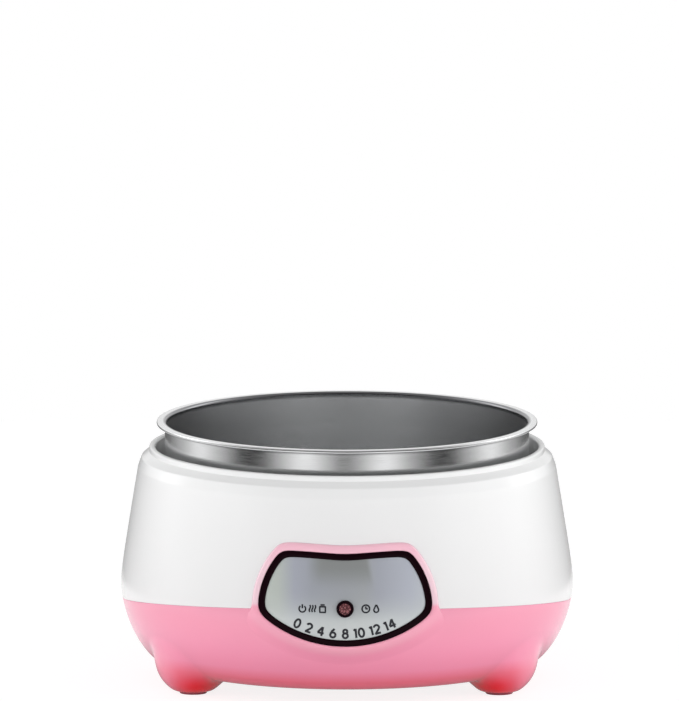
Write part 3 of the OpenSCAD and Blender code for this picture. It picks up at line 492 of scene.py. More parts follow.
# Tones of the panel's face by the place across it and a darker patch at its top, both painted reflections,
# and its paler foot, in metres
FACE_REFLECTIONS_BY_WIDTH = ((-0.031, (0.66, 0.72, 0.67)), (-0.0245, (0.61, 0.66, 0.62)), (-0.0185, (0.49, 0.515, 0.59)),
                 (-0.012, (0.45, 0.475, 0.53)), (0.007, (0.48, 0.505, 0.53)), (0.012, (0.485, 0.51, 0.575)),
                 (0.024, (0.58, 0.61, 0.69)), (0.031, (0.69, 0.73, 0.77)))
FACE_REFLECTED_PATCH_TONE, FACE_LOW_TONE, FACE_LOW_SHARE = (0.335, 0.35, 0.35), (0.64, 0.68, 0.67), 0.8
PATCH_RIGHT, PATCH_LEFT, PATCH_LOW = (0.0116, 0.0092), (-0.015, -0.008), (0.045, 0.055)
PATCH_MID_Z, PATCH_LEAN = 0.047, 0.21                   # its right edge leans by this share of the height
FACE_LOW_FROM = (0.046, 0.032)
FACE_GRAIN, FACE_ROUGH, FACE_RELIEF = 5200.0, (0.36, 0.44), (0.04, 0.0001)


def silver_face():
    """Satin silver face with painted reflections: soft grey, green-grey and lavender zones, and a darker
    patch at the top.
    """
    material, nodes = new_material("silver_face")
    place = nodes.place()
    axes = nodes.axes(place)
    # Painted reflections: zones across the face, and a darker patch at its top
    tone = nodes.ramp(axes[0], FACE_REFLECTIONS_BY_WIDTH)
    lean = nodes.times(nodes.math("SUBTRACT", axes[2], PATCH_MID_Z), PATCH_LEAN)
    patch = nodes.times(nodes.smooth(nodes.math("ADD", axes[0], lean), *PATCH_RIGHT),
                        nodes.smooth(axes[0], *PATCH_LEFT), nodes.smooth(axes[2], *PATCH_LOW))
    tone = nodes.blend(patch, tone, rgba(FACE_REFLECTED_PATCH_TONE))
    low = nodes.times(nodes.smooth(axes[2], *FACE_LOW_FROM), FACE_LOW_SHARE)
    grain = nodes.noise(place, FACE_GRAIN)
    finish_material(nodes, {
        "Base Color": nodes.blend(low, tone, rgba(FACE_LOW_TONE)), "Metallic": 0.35,
        "Roughness": nodes.spread(grain, *FACE_ROUGH), "Normal": nodes.bump(grain, *FACE_RELIEF)})
    return material


LENS_EDGE_TONE, LENS_TONE = (0.055, 0.012, 0.015), (0.30, 0.105, 0.115)
LENS_FACETS, LENS_EDGE_WIDTH, LENS_RELIEF = 1000.0, (0.02, 0.22), (0.5, 0.0003)


def lamp_red():
    """A faceted, smoky red lens, unlit."""
    material, nodes = new_material("red_lens")
    inputs = {"Vector": nodes.place(), "Scale": LENS_FACETS}
    cells = nodes.add("ShaderNodeTexVoronoi", inputs, feature="DISTANCE_TO_EDGE")
    share = nodes.smooth(cells.outputs["Distance"], *LENS_EDGE_WIDTH)
    finish_material(nodes, {
        "Base Color": nodes.blend(share, rgba(LENS_EDGE_TONE), rgba(LENS_TONE)),
        "Roughness": 0.22, "Normal": nodes.bump(share, *LENS_RELIEF), "Specular IOR Level": 0.3})
    return material


PLAIN_LOOKS = {
    "white_plastic": dict(color=(0.885, 0.887, 0.888), rough=0.24, vary=0.004,
                          **{"Coat Weight": 0.25, "Coat Roughness": 0.08}),
    "black_plastic": dict(color=(0.008, 0.002, 0.004), rough=0.14, relief=0.01,
                          **{"Specular IOR Level": 0.03}),
    "bulb_glass": dict(color=(0.85, 0.5, 0.3), rough=0.1, relief=0.01, **{"Transmission Weight": 0.6}),
    "nylon": dict(color=(0.78, 0.77, 0.72), rough=0.42),
    "resistor_body": dict(color=(0.55, 0.44, 0.27), rough=0.35),
    "lead_insulation": dict(color=(0.30, 0.30, 0.31), rough=0.4),
    "well_plastic": dict(color=(0.76, 0.77, 0.77), rough=0.38, relief=0.05),
    "plate_aluminium": dict(color=(0.77, 0.77, 0.78), rough=0.34, relief=0.05, metallic=1.0),
    "heater_aluminium": dict(color=(0.66, 0.66, 0.67), rough=0.42, relief=0.08, metallic=1.0),
    "plated_steel": dict(color=(0.60, 0.60, 0.59), rough=0.3, metallic=1.0),
    "brass": dict(color=(0.80, 0.60, 0.30), rough=0.28, metallic=1.0),
    "fuse_metal": dict(color=(0.72, 0.71, 0.69), rough=0.3, metallic=1.0),
    "sleeve_fibre": dict(color=(0.80, 0.76, 0.64), rough=0.65, grain=900, relief=0.2),
    "inlet_plastic": dict(color=(0.02, 0.02, 0.021), rough=0.36, relief=0.08),
    "pin_metal": dict(color=(0.76, 0.75, 0.72), rough=0.22, metallic=1.0),
    "live_insulation": dict(color=(0.32, 0.13, 0.05), rough=0.38),
    "neutral_insulation": dict(color=(0.03, 0.08, 0.35), rough=0.38),
    "heater_insulation": dict(color=(0.80, 0.78, 0.70), rough=0.5),
    "pad_rubber": dict(color=(0.36, 0.07, 0.10), rough=0.6, grain=800, relief=0.2),
    "ink": dict(color=(0.012, 0.012, 0.02), rough=0.5, vary=0.05),
}
MATERIALS = {name: moulded(name, **look) for name, look in PLAIN_LOOKS.items()}
MATERIALS.update(pink_plastic=pink_plastic("pink_plastic"), silver_face=silver_face(), red_lens=lamp_red(),
                 pink_border=pink_plastic("pink_border", on_border=True), stainless_steel=brushed_steel())


def paint_nodes():
    """Gives each carried-over CAD node the material of its slot in the record."""
    slots = {use["node"]: use["material_slot"] for use in frame["record"]["subparts"]}
    for name, node in frame["nodes"].items():
        node.data.materials.clear()
        node.data.materials.append(MATERIALS[slots[name]])
        node.data.shade_smooth()
        node.data.set_sharp_from_angle(angle=math.radians(NODE_SHARP_ANGLE))


# ---------- shells ----------

EDGE_R, EDGE_SOFT = 0.08, 0.3       # rounding of the shells' edges at the seam, and its middle point's share
SIDE_END, LEDGE_WALL = 1.6, 3.0     # how far below the shoulder the side stops; depth of the ledge's wall
SHOULDER_FILLET, LEDGE_FILLET, COLLAR_FOOT_FILLET, COLLAR_FILLET, LIP_FILLET = 6.0, 1.2, 0.3, 0.85, 1.0
SIDE_RINGS, SHELL_INNER_RINGS, SHELL_INNER_END = 36, 12, 0.05


def body_ring(theta, radius, z):
    """A ring of the body with a radius and a height that may differ round it."""
    return np.stack([radius * np.cos(theta), radius * np.sin(theta), np.broadcast_to(z, theta.shape)], -1)


def upper_shell():
    """The white shell: side, shoulder, ledge, collar and lip, closed by its inside."""
    theta = circle_angles(AROUND)
    low = seam_at(theta) + SEAM_GAP
    side_top = SHOULDER_Z - SIDE_END

    def ring(offset, z):
        return body_ring(theta, body_radius(z) + offset, z)

    rings = [ring(-WALL, low), ring(-WALL / 2, low), ring(-EDGE_R, low)]
    rings.append(ring(-EDGE_R * EDGE_SOFT, low + EDGE_R * EDGE_SOFT))
    rings += [ring(0, low + EDGE_R + (side_top - low - EDGE_R) * u) for u in np.linspace(0, 1, SIDE_RINGS)]
    top = rounded([[float(body_radius(side_top)), side_top, 0], [NECK_R, SHOULDER_Z, SHOULDER_FILLET],
                   [LEDGE_R, LEDGE_OUT_Z, LEDGE_FILLET], [COLLAR_R, LEDGE_IN_Z, COLLAR_FOOT_FILLET],
                   [COLLAR_R, BODY_H, COLLAR_FILLET], [LIP_IN_R, BODY_H, LIP_FILLET],
                   [LIP_IN_R, SKIRT_Z, 0], [COLLAR_R, SKIRT_Z, 0], [COLLAR_R, LEDGE_IN_Z - LEDGE_WALL, 0],
                   [NECK_R - WALL, SHOULDER_Z, 0]])
    rings += turned(top[1:], theta)
    rings += [ring(-WALL, low + (side_top - low) * u)
              for u in np.linspace(1, SHELL_INNER_END, SHELL_INNER_RINGS)]
    return new_piece("upper_shell_skin", *skin(rings), MATERIALS["white_plastic"],
                     stands_for=["upper_shell"], slot="white_plastic")


# The height it starts from, and its steps: in mm down to the belt, and in degrees below that
CURVE_TOP, CURVE_STEP, CURVE_TURN = 43.0, 0.5, 0.75


def lower_curve():
    """The base's outside from above the seam down to the floor's edge: length along it, radius, height."""
    above = np.arange(CURVE_TOP, BELT_Z, -CURVE_STEP)
    t = np.radians(np.arange(0, 90 + CURVE_TURN / 2, CURVE_TURN))
    r = np.concatenate([body_radius(above), FLOOR_R + (BODY_R - FLOOR_R) * np.cos(t) ** (2 / BOWL_POWER)])
    z = np.concatenate([above, BELT_Z - (BELT_Z - FLOOR_Z) * np.sin(t) ** (2 / BOWL_POWER)])
    length = np.concatenate([[0], np.cumsum(np.hypot(np.diff(r), np.diff(z)))])
    return length, r, z


def smooth_min(a, b, k):
    """The lesser of a and b, rounded where they are within k of each other."""
    near = np.maximum(k - np.abs(a - b), 0) / k
    return np.minimum(a, b) - near ** 2 * k / 4


MELT_STEP, MELT_REACH, MELT_HALVINGS, LEAST_MOVE = 0.25, 17.0, 14, 1e-3
FOOT_FLAT_BLEND = 1.0               # rounding between a ball foot and its flat underside


def melt_feet(points, normals):
    """Moves points of the bowl along their normals to the skin of the bowl blended with the ball feet."""
    centres = [centre + (0, 0, FOOT_LIFT) for centre in FOOT_CENTRES]

    def gap(s):
        q = points + normals * s[..., None]
        balls = np.min([np.linalg.norm(q - centre, axis=-1) - FOOT_R for centre in centres], axis=0)
        return smooth_min(s, balls, FOOT_BLEND)

    s = np.full(points.shape[:-1], MELT_REACH)
    found = np.zeros(s.shape, bool)
    for reach in np.arange(MELT_REACH, -MELT_STEP, -MELT_STEP):
        trial = np.full(s.shape, max(reach, 0.0))
        hit = ~found & (gap(trial) <= 0)
        s[hit] = trial[hit]
        found |= hit
    s[~found] = 0
    low, high = s, s + MELT_STEP
    for _ in range(MELT_HALVINGS):
        mid = (low + high) / 2
        inside = gap(mid) <= 0
        low, high = np.where(inside, mid, low), np.where(inside, high, mid)
    s = np.where(found & (low > LEAST_MOVE), low, 0)
    moved = points + normals * s[..., None]
    moved[..., 2] = -smooth_min(-moved[..., 2], np.full(s.shape, -PAD_H), FOOT_FLAT_BLEND)
    return moved


BOWL_RINGS = 64
FLOOR_STEP, FLOOR_FINE_R = 0.7, 47          # rings of the underside: this close out to in to this radius
FLOOR_COARSE_STEP = 5                       # and this far apart within it
INSIDE_RINGS, INSIDE_CROWDING, INSIDE_FLOOR_RS = 14, 1.5, (FLOOR_R - 6, 40, 15, 2)
EDGE_MID, TONGUE_ROOT, FLOOR_JOIN = 0.6, 0.6, 0.02
INLET_PLAY, INLET_CORNER_R, INLET_CUT = 0.4, 1.0, (40.0, 95.0)


def base_outside(theta, edge):
    """Rings of the bowl, from the seam down its side and in over its underside, with the feet melted on."""
    length, r, z = lower_curve()
    start = np.interp(-(edge - EDGE_R), -z, length)
    dr, dz = np.gradient(r, length), np.gradient(z, length)
    outside, normals = [], []
    for u in np.linspace(0, 1, BOWL_RINGS):
        w = start + (length[-1] - start) * u
        outside.append(body_ring(theta, np.interp(w, length, r), np.interp(w, length, z)))
        nr, nz = -np.interp(w, length, dz), np.interp(w, length, dr)
        size = np.hypot(nr, nz)
        normals.append(body_ring(theta, nr / size, nz / size))
    for radius in np.concatenate([np.arange(FLOOR_R - FLOOR_STEP, FLOOR_FINE_R, -FLOOR_STEP),
                                  np.arange(FLOOR_FINE_R - 1, 1, -FLOOR_COARSE_STEP)]):
        outside.append(body_ring(theta, radius, FLOOR_Z))
        normals.append(body_ring(theta, 0.0, -1.0))
    return melt_feet(np.array(outside), np.array(normals))


def base_inside(theta, edge):
    """Rings of the inside, from below the tongue down to the floor's middle."""
    floor_top, top = FLOOR_Z + WALL, edge - TONGUE_H - TONGUE_ROOT
    share = np.linspace(0, 1, INSIDE_RINGS)[:, None] ** INSIDE_CROWDING
    z = np.maximum(top[None, :] * (1 - share) + (floor_top + FLOOR_JOIN) * share, floor_top)
    drop = np.clip((BELT_Z - z) / (BELT_Z - floor_top), 0, 1)
    bowl = FLOOR_R + (BODY_R - FLOOR_R - WALL) * (1 - drop ** BOWL_POWER) ** (1 / BOWL_POWER)
    r = np.where(z > BELT_Z, body_radius(z) - WALL, bowl)
    rings = [body_ring(theta, r[i], z[i]) for i in range(1, INSIDE_RINGS)]
    return rings + [body_ring(theta, radius, floor_top) for radius in INSIDE_FLOOR_RS]


def base_shell():
    """The pink base: bowl, melted ball feet, seam tongue, inside and the inlet's pod."""
    theta = circle_angles(2 * AROUND)
    edge = seam_at(theta)
    tongue_out, tongue_in = -WALL - TONGUE_GAP, -WALL - TONGUE_GAP - TONGUE_T
    top = [body_ring(theta, body_radius(edge) + offset, edge + up) for offset, up in
           ((-EDGE_R * EDGE_SOFT, -EDGE_R * EDGE_SOFT), (-EDGE_R, 0), (-WALL * EDGE_MID, 0), (tongue_out, 0),
            (tongue_out, TONGUE_H), (tongue_in, TONGUE_H), (tongue_in, -TONGUE_H),
            (-WALL, -TONGUE_H - TONGUE_ROOT))]
    rings = list(base_outside(theta, edge)[::-1]) + top + base_inside(theta, edge)
    piece = new_piece("base_skin", *skin(rings, wrap=False, poles=True), MATERIALS["pink_plastic"],
                      stands_for=["base_shell"], slot="pink_plastic")
    combine(piece, inlet_pod(), "UNION")
    hole = rounded_box(INLET_W + INLET_PLAY, INLET_H + INLET_PLAY, INLET_Z, INLET_CORNER_R)
    combine(piece, cutter("inlet_hole", [in_depth(hole, y) for y in INLET_CUT]), "DIFFERENCE")
    return piece


def rounded_box(width, height, mid_z, radius):
    x, low, high = width / 2, mid_z - height / 2, mid_z + height / 2
    return rounded([[x, low, radius], [x, high, radius], [-x, high, radius], [-x, low, radius]])


def in_depth(outline, y):
    """An outline of (x, z) set at depth y."""
    return np.stack([outline[:, 0], np.full(len(outline), y), outline[:, 1]], -1)


POD_IN_Y, POD_EDGE_R, POD_EDGE_TURNS = 58.0, 1.3, (18, 36, 54, 72, 90)
CORE_PAST, CORE_RINGS = 2.0, 24


def inlet_pod():
    """The flat-faced pod behind, from inside the bowl's wall out to its face with a rounded edge."""
    mid_z, height = (POD_LOW_Z + POD_HIGH_Z) / 2, POD_HIGH_Z - POD_LOW_Z
    places = [(0, POD_IN_Y), (0, POD_Y - POD_EDGE_R)]
    places += [(POD_EDGE_R * (1 - math.cos(a)), POD_Y - POD_EDGE_R * (1 - math.sin(a)))
               for a in np.radians(POD_EDGE_TURNS)]
    rings = [in_depth(rounded_box(2 * (POD_HALF_W - inset), height - 2 * inset, mid_z, POD_ROUND - inset), y)
             for inset, y in places]
    pod = cutter("inlet_pod", rings)
    z = np.linspace(POD_LOW_Z - CORE_PAST, POD_HIGH_Z + CORE_PAST, CORE_RINGS)
    inside = [(POLE_R, z[0])] + list(zip(bowl_radius(z) - WALL / 2, z)) + [(POLE_R, z[-1])]
    combine(pod, cutter("pod_core", turned(inside)), "DIFFERENCE")
    return pod


PAD_EDGE_R, PAD_TOP_R, PAD_SUNK, PAD_CHORDS = 0.35, 0.1, 0.25, 5


def copies(surface, places):
    """Points and faces of one surface, repeated at each place."""
    points, faces = surface
    shifted = [tuple(i * len(points) + k for k in face) for i in range(len(places)) for face in faces]
    return np.concatenate([points + place for place in places]), shifted


def foot_pads():
    """Four rubber pads with softened edges, set in the feet."""
    profile = rounded([[PAD_POLE_R, 0, 0], [PAD_R, 0, PAD_EDGE_R], [PAD_R, PAD_H + PAD_SUNK, PAD_TOP_R],
                       [PAD_POLE_R, PAD_H + PAD_SUNK, 0]], PAD_CHORDS)
    pad = skin(turned(profile, circle_angles(SMALL_STEPS)), wrap=False, poles=True)
    new_piece("foot_pad_discs", *copies(pad, FOOT_CENTRES), MATERIALS["pad_rubber"],
              stands_for=["foot_pads"], slot="pad_rubber")


# ---------- panel and lamp ----------

def panel_ring(a, grow, proud, side=None):
    """The panel's outline on the body, moved outward as in panel_reach, and raised by proud."""
    reach = panel_reach(a, grow, side)
    return on_front(reach * np.cos(a), PANEL_MID_Z + reach * np.sin(a), proud)


# Sections of the border as (outward, proud): its inner edge, and from there the crisp and the melting one
BORDER_INNER = [(-0.15, -PANEL_SINK), (-0.1, 0.9), (0.05, 1.2), (0.35, 1.42), (0.9, BORDER_PROUD)]
BORDER_CRISP = BORDER_INNER + [(1.6, BORDER_PROUD), (2.15, 1.42), (2.55, 1.18), (2.8, 0.8),
                               (BORDER_W, 0.35), (BORDER_W, -0.15), (2.8, -PANEL_SINK)]
BORDER_SOFT = BORDER_INNER + [(1.7, 1.44), (2.6, 1.22), (3.7, 0.86), (4.9, 0.48), (6.2, 0.16), (7.4, -0.06),
                              (7.0, -PANEL_SINK)]
SOFT_FROM, SOFT_SPAN = 1.0, 7.0     # it starts to melt this far above the seam, over this much height


def panel_border():
    """The raised pink border: crisp on the white shell, and melting into the base below the seam."""
    a = circle_angles(PANEL_STEPS)
    height = PANEL_MID_Z + panel_reach(a, BORDER_W) * np.sin(a)
    soft = np.clip((seam_z(BODY_R) + SOFT_FROM - height) / SOFT_SPAN, 0, 1)
    soft = soft ** 2 * (3 - 2 * soft)
    rings = []
    for (g0, h0), (g1, h1) in zip(BORDER_CRISP, BORDER_SOFT):
        grow = g0 + (g1 - g0) * soft
        rings.append(panel_ring(a, grow, h0 + (h1 - h0) * soft, grow * BORDER_SIDE_W / BORDER_W))
    new_piece("panel_border", *skin(rings), MATERIALS["pink_border"],
              stands_for=["base_shell"], slot="pink_plastic")


FRAME_IN, ON_FACE = -FRAME_W - FRAME_LIP, FACE_PROUD + 0.02
FRAME_SECTION = [(0.0, -PANEL_SINK), (0.0, 0.75), (-0.12, 1.0), (-0.4, FRAME_PROUD), (-1.1, FRAME_PROUD),
                 (FRAME_IN + 0.6, FRAME_PROUD), (FRAME_IN + 0.2, 0.98), (FRAME_IN, 0.78),
                 (FRAME_IN, ON_FACE), (-FRAME_W, ON_FACE), (-FRAME_W, -PANEL_SINK)]


def panel_frame():
    """The glossy dark frame, a rounded band inside the border."""
    a = circle_angles(PANEL_STEPS)
    rings = [panel_ring(a, grow, proud) for grow, proud in FRAME_SECTION]
    new_piece("panel_frame_band", *skin(rings), MATERIALS["black_plastic"],
              stands_for=["panel_frame"], slot="black_plastic")


FACE_GAP = 0.05
FACE_MIDDLE, FACE_OUTER, FACE_RINGS = 0.02, 0.97, 24    # rings of the face, as shares of the way to its edge
BACK_EVERY = 3                      # its back has one ring for every three of the front


def panel_face():
    """The metal face, following the body, with a hole for the lamp."""
    a = circle_angles(PANEL_STEPS)
    reach = panel_reach(a, -FRAME_W - FACE_GAP)

    def ring(share, proud):
        return on_front(share * reach * np.cos(a), PANEL_MID_Z + share * reach * np.sin(a), proud)

    shares = np.concatenate([np.linspace(FACE_MIDDLE, FACE_OUTER, FACE_RINGS), [1.0]])
    rings = [ring(share, FACE_PROUD) for share in shares]
    rings += [ring(share, -PANEL_SINK) for share in shares[::-BACK_EVERY]]
    cut_for_lamp(new_piece("panel_face_plate", *skin(rings, wrap=False, poles=True), MATERIALS["silver_face"],
                           stands_for=["panel_face"], slot="silver_face"))


HOLE_GAP, HOLE_STEPS, HOLE_DEPTHS = 0.1, 48, (-90.0, -60.0)


def cut_for_lamp(piece):
    """Cuts the hole that the lamp's barrel goes through."""
    hole = turned([(BARREL_R + HOLE_GAP, depth) for depth in HOLE_DEPTHS], circle_angles(HOLE_STEPS))
    combine(piece, cutter("lamp_hole", along_depth(hole, (0, LAMP_Z))), "DIFFERENCE")


RING_STEPS, RING_CHORDS, RING_ROUND, RING_EDGE, RING_DEEP = 96, 6, 0.25, 0.12, 2.5
LENS_GAP, LENS_DOME, LENS_UP, LENS_DEEP = 0.05, 0.35, 0.1, 2.4
LENS_TURN = np.radians(np.arange(6, 91, 7))             # the dome's rings, from its middle to its edge


def lamp():
    """The black ring, and the domed lens in it."""
    on_face_y = -(float(body_radius(LAMP_Z - LENS_R - BEZEL_W)) + FACE_PROUD)
    inner, outer = LENS_R + LENS_GAP, LENS_R + BEZEL_W
    ring = rounded([[inner, RING_DEEP, 0], [inner, -BEZEL_PROUD, RING_ROUND],
                    [outer - RING_EDGE, -BEZEL_PROUD, RING_ROUND], [outer, 0.0, 0],
                    [BARREL_R, 0.0, 0], [BARREL_R, RING_DEEP, 0]], RING_CHORDS)
    rings = along_depth(turned(ring, circle_angles(RING_STEPS)), (0, LAMP_Z), on_face_y)
    new_piece("lamp_ring", *skin(rings), MATERIALS["black_plastic"],
              stands_for=["lamp_bezel"], slot="black_plastic")
    lens = [(LENS_R * math.sin(t), -BEZEL_PROUD - LENS_DOME * math.cos(t) + LENS_UP) for t in LENS_TURN]
    lens += [(LENS_R, LENS_DEEP), (LENS_POLE_R, LENS_DEEP)]
    rings = along_depth(turned(lens, circle_angles(SMALL_STEPS)), (0, LAMP_Z), on_face_y)
    new_piece("lamp_lens_dome", *skin(rings, wrap=False, poles=True), MATERIALS["red_lens"],
              stands_for=["lamp_lens"], slot="red_lens")


# ---------- printed marks ----------

INK_LOW, INK_HIGH = FACE_PROUD - 0.05, FACE_PROUD + 0.04            # a stroke's back, and its front
INK_STEP = 0.35                     # a stroke follows the face in steps of this


def stroke(path, width):
    """An inked line on the face along a path of (x, z), as the points and faces of a thin closed band."""
    corners = np.array(path, float)
    run = np.concatenate([[0.0], np.cumsum(np.linalg.norm(np.diff(corners, axis=0), axis=1))])
    steps = np.linspace(0.0, run[-1], max(len(corners), int(run[-1] / INK_STEP) + 2))
    path = np.stack([np.interp(steps, run, corners[:, axis]) for axis in (0, 1)], -1)
    way = np.gradient(path, axis=0)
    way /= np.linalg.norm(way, axis=1)[:, None]
    across = np.stack([-way[:, 1], way[:, 0]], -1) * width / 2
    left, right = path + across, path - across
    edges = [(left, INK_LOW), (left, INK_HIGH), (right, INK_HIGH), (right, INK_LOW)]
    rings = np.stack([on_front(side[:, 0], side[:, 1], proud) for side, proud in edges], 1)
    return skin(rings, wrap=False, poles=True)


def arc(cx, cz, r, a0, a1, n=24):
    """n points on a circle of radius r round (cx, cz), from a0 to a1 in degrees."""
    a = np.radians(np.linspace(a0, a1, n))
    return np.stack([cx + r * np.cos(a), cz + r * np.sin(a)], -1)


WAVE_POINTS = 13


def wave(x, height, swing):
    """An upright wave at x."""
    t = np.linspace(-0.5, 0.5, WAVE_POINTS)
    return np.stack([x + swing * np.sin(2 * math.pi * t), height * t], -1)


# Signs and digits as lines in a box of height 1 round (0, 0)
SIGNS = {
    "power": [arc(0, -0.06, 0.4, 125, 415), [(0, 0), (0, 0.25), (0, 0.5)]],
    "clock": [arc(0, 0, 0.46, 0, 360, 40), [(0, 0.02), (0, 0.3)], [(-0.06, 0), (0.24, 0)]],
    "heat": [wave(x, 0.86, 0.07) for x in (-0.32, 0, 0.32)],
    "jar": [[(-0.26, 0.46), (0.26, 0.46)], [(-0.34, 0.26), (-0.34, -0.44)], [(0.34, 0.26), (0.34, -0.44)],
            [(-0.4, 0.24), (0.4, 0.24)], [(-0.4, -0.44), (0.4, -0.44)]],
    "drop": [arc(0, -0.16, 0.29, 150, 390), [(-0.25, -0.02), (-0.02, 0.48)], [(0.25, -0.02), (0.02, 0.48)]],
    "0": [arc(0, 0, 1, 0, 360, 32) * (0.27, 0.46)],
    "1": [[(0.06, 0.5), (0.06, -0.5)], [(-0.16, 0.3), (0.04, 0.45)]],
    "2": [arc(0, 0.2, 0.27, 165, -35, 16), [(0.22, 0.05), (-0.26, -0.46)], [(-0.3, -0.44), (0.3, -0.44)]],
    "4": [[(0.14, 0.5), (0.14, -0.5)], [(0.12, 0.47), (-0.3, -0.16)], [(-0.33, -0.18), (0.34, -0.18)]],
    "6": [arc(0, -0.19, 0.27, 0, 360, 28), [(-0.25, -0.14), (-0.15, 0.18), (0.12, 0.48)]],
    "8": [arc(0, 0.24, 0.21, 0, 360, 24), arc(0, -0.21, 0.26, 0, 360, 28)],
}
SIGN_H, SIGN_LINE = 3.0, 0.58
SIGN_PLACES = (("power", -15.6), ("heat", -11.9), ("jar", -8.2), ("clock", 7.6), ("drop", 11.4))
# The digits of the row 0 2 4 6 8 10 12 14, each with its place along the row from the middle
HOURS = (("0", -17.9), ("2", -13.4), ("4", -8.9), ("6", -4.4), ("8", 0.1), ("1", 3.8), ("0", 6.0), ("1", 9.7),
         ("2", 11.8), ("1", 15.3), ("4", 17.6))
HOURS_H, HOURS_LINE, HOURS_IN = 3.5, 0.8, 2.8           # last: from the frame in to the middle of the row


def sign_strokes(sign, x, z, height, width, turn=0.0):
    """The strokes of a sign at (x, z), turned by an angle."""
    cos, sin = math.cos(turn), math.sin(turn)
    for path in SIGNS[sign]:
        px, pz = (np.array(path, float) * height).T
        yield stroke(np.stack([x + cos * px - sin * pz, z + sin * px + cos * pz], -1), width)


def panel_marks():
    """Plain printed marks: signs beside the lamp, and a curved row of hours below it."""
    strokes = []
    for sign, x in SIGN_PLACES:
        strokes += sign_strokes(sign, x, LAMP_Z, SIGN_H, SIGN_LINE)
    middle_z, row_r = PANEL_LOW_Z + PANEL_LOW_R, PANEL_LOW_R - FRAME_W - HOURS_IN
    for sign, along in HOURS:
        turn = along / row_r
        x, z = row_r * math.sin(turn), middle_z - row_r * math.cos(turn)
        strokes += sign_strokes(sign, x, z, HOURS_H, HOURS_LINE, turn)
    points, faces = [], []
    for more, quads in strokes:
        faces += [tuple(len(points) + i for i in face) for face in quads]
        points += list(more)
    new_piece("panel_marks", points, faces, MATERIALS["ink"], slot="black_plastic")


# ---------- liner ----------

MOUTH_ROUND, RIM_ROUND, HEM_ROUND, UNDER_RIM_ROUND, LINER_CHORDS = 1.1, RIM_H * 0.48, 0.1, 0.5, 12


def liner():
    """The steel liner, with its turned-out rim and rolled hem."""
    out_r, floor_z, hem_r = LINER_R + LINER_T, LINER_Z0 + LINER_T, RIM_R - HEM_W
    hem_z, under_z = RIM_TOP_Z - RIM_H, RIM_TOP_Z - LINER_T
    profile = rounded([[LINER_POLE_R, floor_z, 0], [LINER_R, floor_z, LINER_CORNER_R],
                       [LINER_R, RIM_TOP_Z, MOUTH_ROUND], [RIM_R, RIM_TOP_Z, RIM_ROUND],
                       [RIM_R, hem_z, RIM_ROUND], [hem_r, hem_z, HEM_ROUND], [hem_r, under_z, 0],
                       [out_r, under_z, UNDER_RIM_ROUND], [out_r, LINER_Z0, LINER_CORNER_R + LINER_T],
                       [LINER_POLE_R, LINER_Z0, 0]], LINER_CHORDS)
    new_piece("liner_bowl", *skin(turned(profile), wrap=False, poles=True), MATERIALS["stainless_steel"],
              body="liner", stands_for=["liner"], slot="stainless_steel")


# ---------- stage, light and camera ----------

# Light for what is glossy, from tall soft boxes and cards: (azimuth from the front in degrees, level)
GLOSS = ((-180, 0.1), (-150, 0.1), (-122, 0.42), (-100, 0.92), (-84, 0.5), (-64, 0.0), (-52, 0.02),
         (-40, 0.45), (-24, 1.0), (-11, 0.5), (-1, 0.06), (8, 0.42), (23, 1.0), (40, 0.36), (56, 0.0),
         (64, 0.0), (80, 0.42), (98, 0.92), (122, 0.38), (146, 0.1), (180, 0.1))
# The same above eye level: (azimuth either way from the front, level)
GLOSS_ABOVE = ((0, 0.02), (40, 0.03), (70, 0.2), (100, 0.35), (110, 1.0), (122, 1.0), (132, 0.42),
               (180, 0.42))
GLOSS_PEAK, ABOVE_PEAK = 1.12, 2.3
OVERHEAD = 0.45
ABOVE_FADE, OVERHEAD_FADE = (0.0, 0.1), (0.6, 0.85)             # heights of the direction
SKY = ((0.0, 1.8), (0.2, 1.52), (0.5, 0.5), (1.0, 0.12))        # even light by the height of its direction
FRONT_DIM, FRONT_FADE = 0.08, (-0.2, -0.9)                      # how much weaker it is from the front
# The floor's tone, its tone and its glow to the camera, and its glow to what is glossy where it holds a
# painted shadow under the object
FLOOR_TONE, FLOOR_SEEN, FLOOR_LIFT, FLOOR_PAINTED_SHADOW = 0.98, 0.3, 0.85, 0.3
PAINTED_SHADOW_FADE, MIRROR_FADE = (0.07, 0.11), (0.24, 0.36)    # metres from the axis
FLOOR_RINGS, FLOOR_STEPS = (20.0, 200.0, 600.0), 96


def greys(stops, angles=False):
    """Stops of (place, level) as greys; angles turns places in degrees into radians."""
    return [(math.radians(place) if angles else place, (level,) * 3) for place, level in stops]


def studio(nodes, x, y, stops, peak, mirrored=False):
    """The tall soft boxes and cards in the direction (x, y)."""
    azimuth = nodes.math("ARCTAN2", x, nodes.times(y, -1.0))
    if mirrored:
        azimuth = nodes.math("ABSOLUTE", azimuth)
    return nodes.scaled(nodes.ramp(azimuth, greys(stops, angles=True), "EASE"), peak)


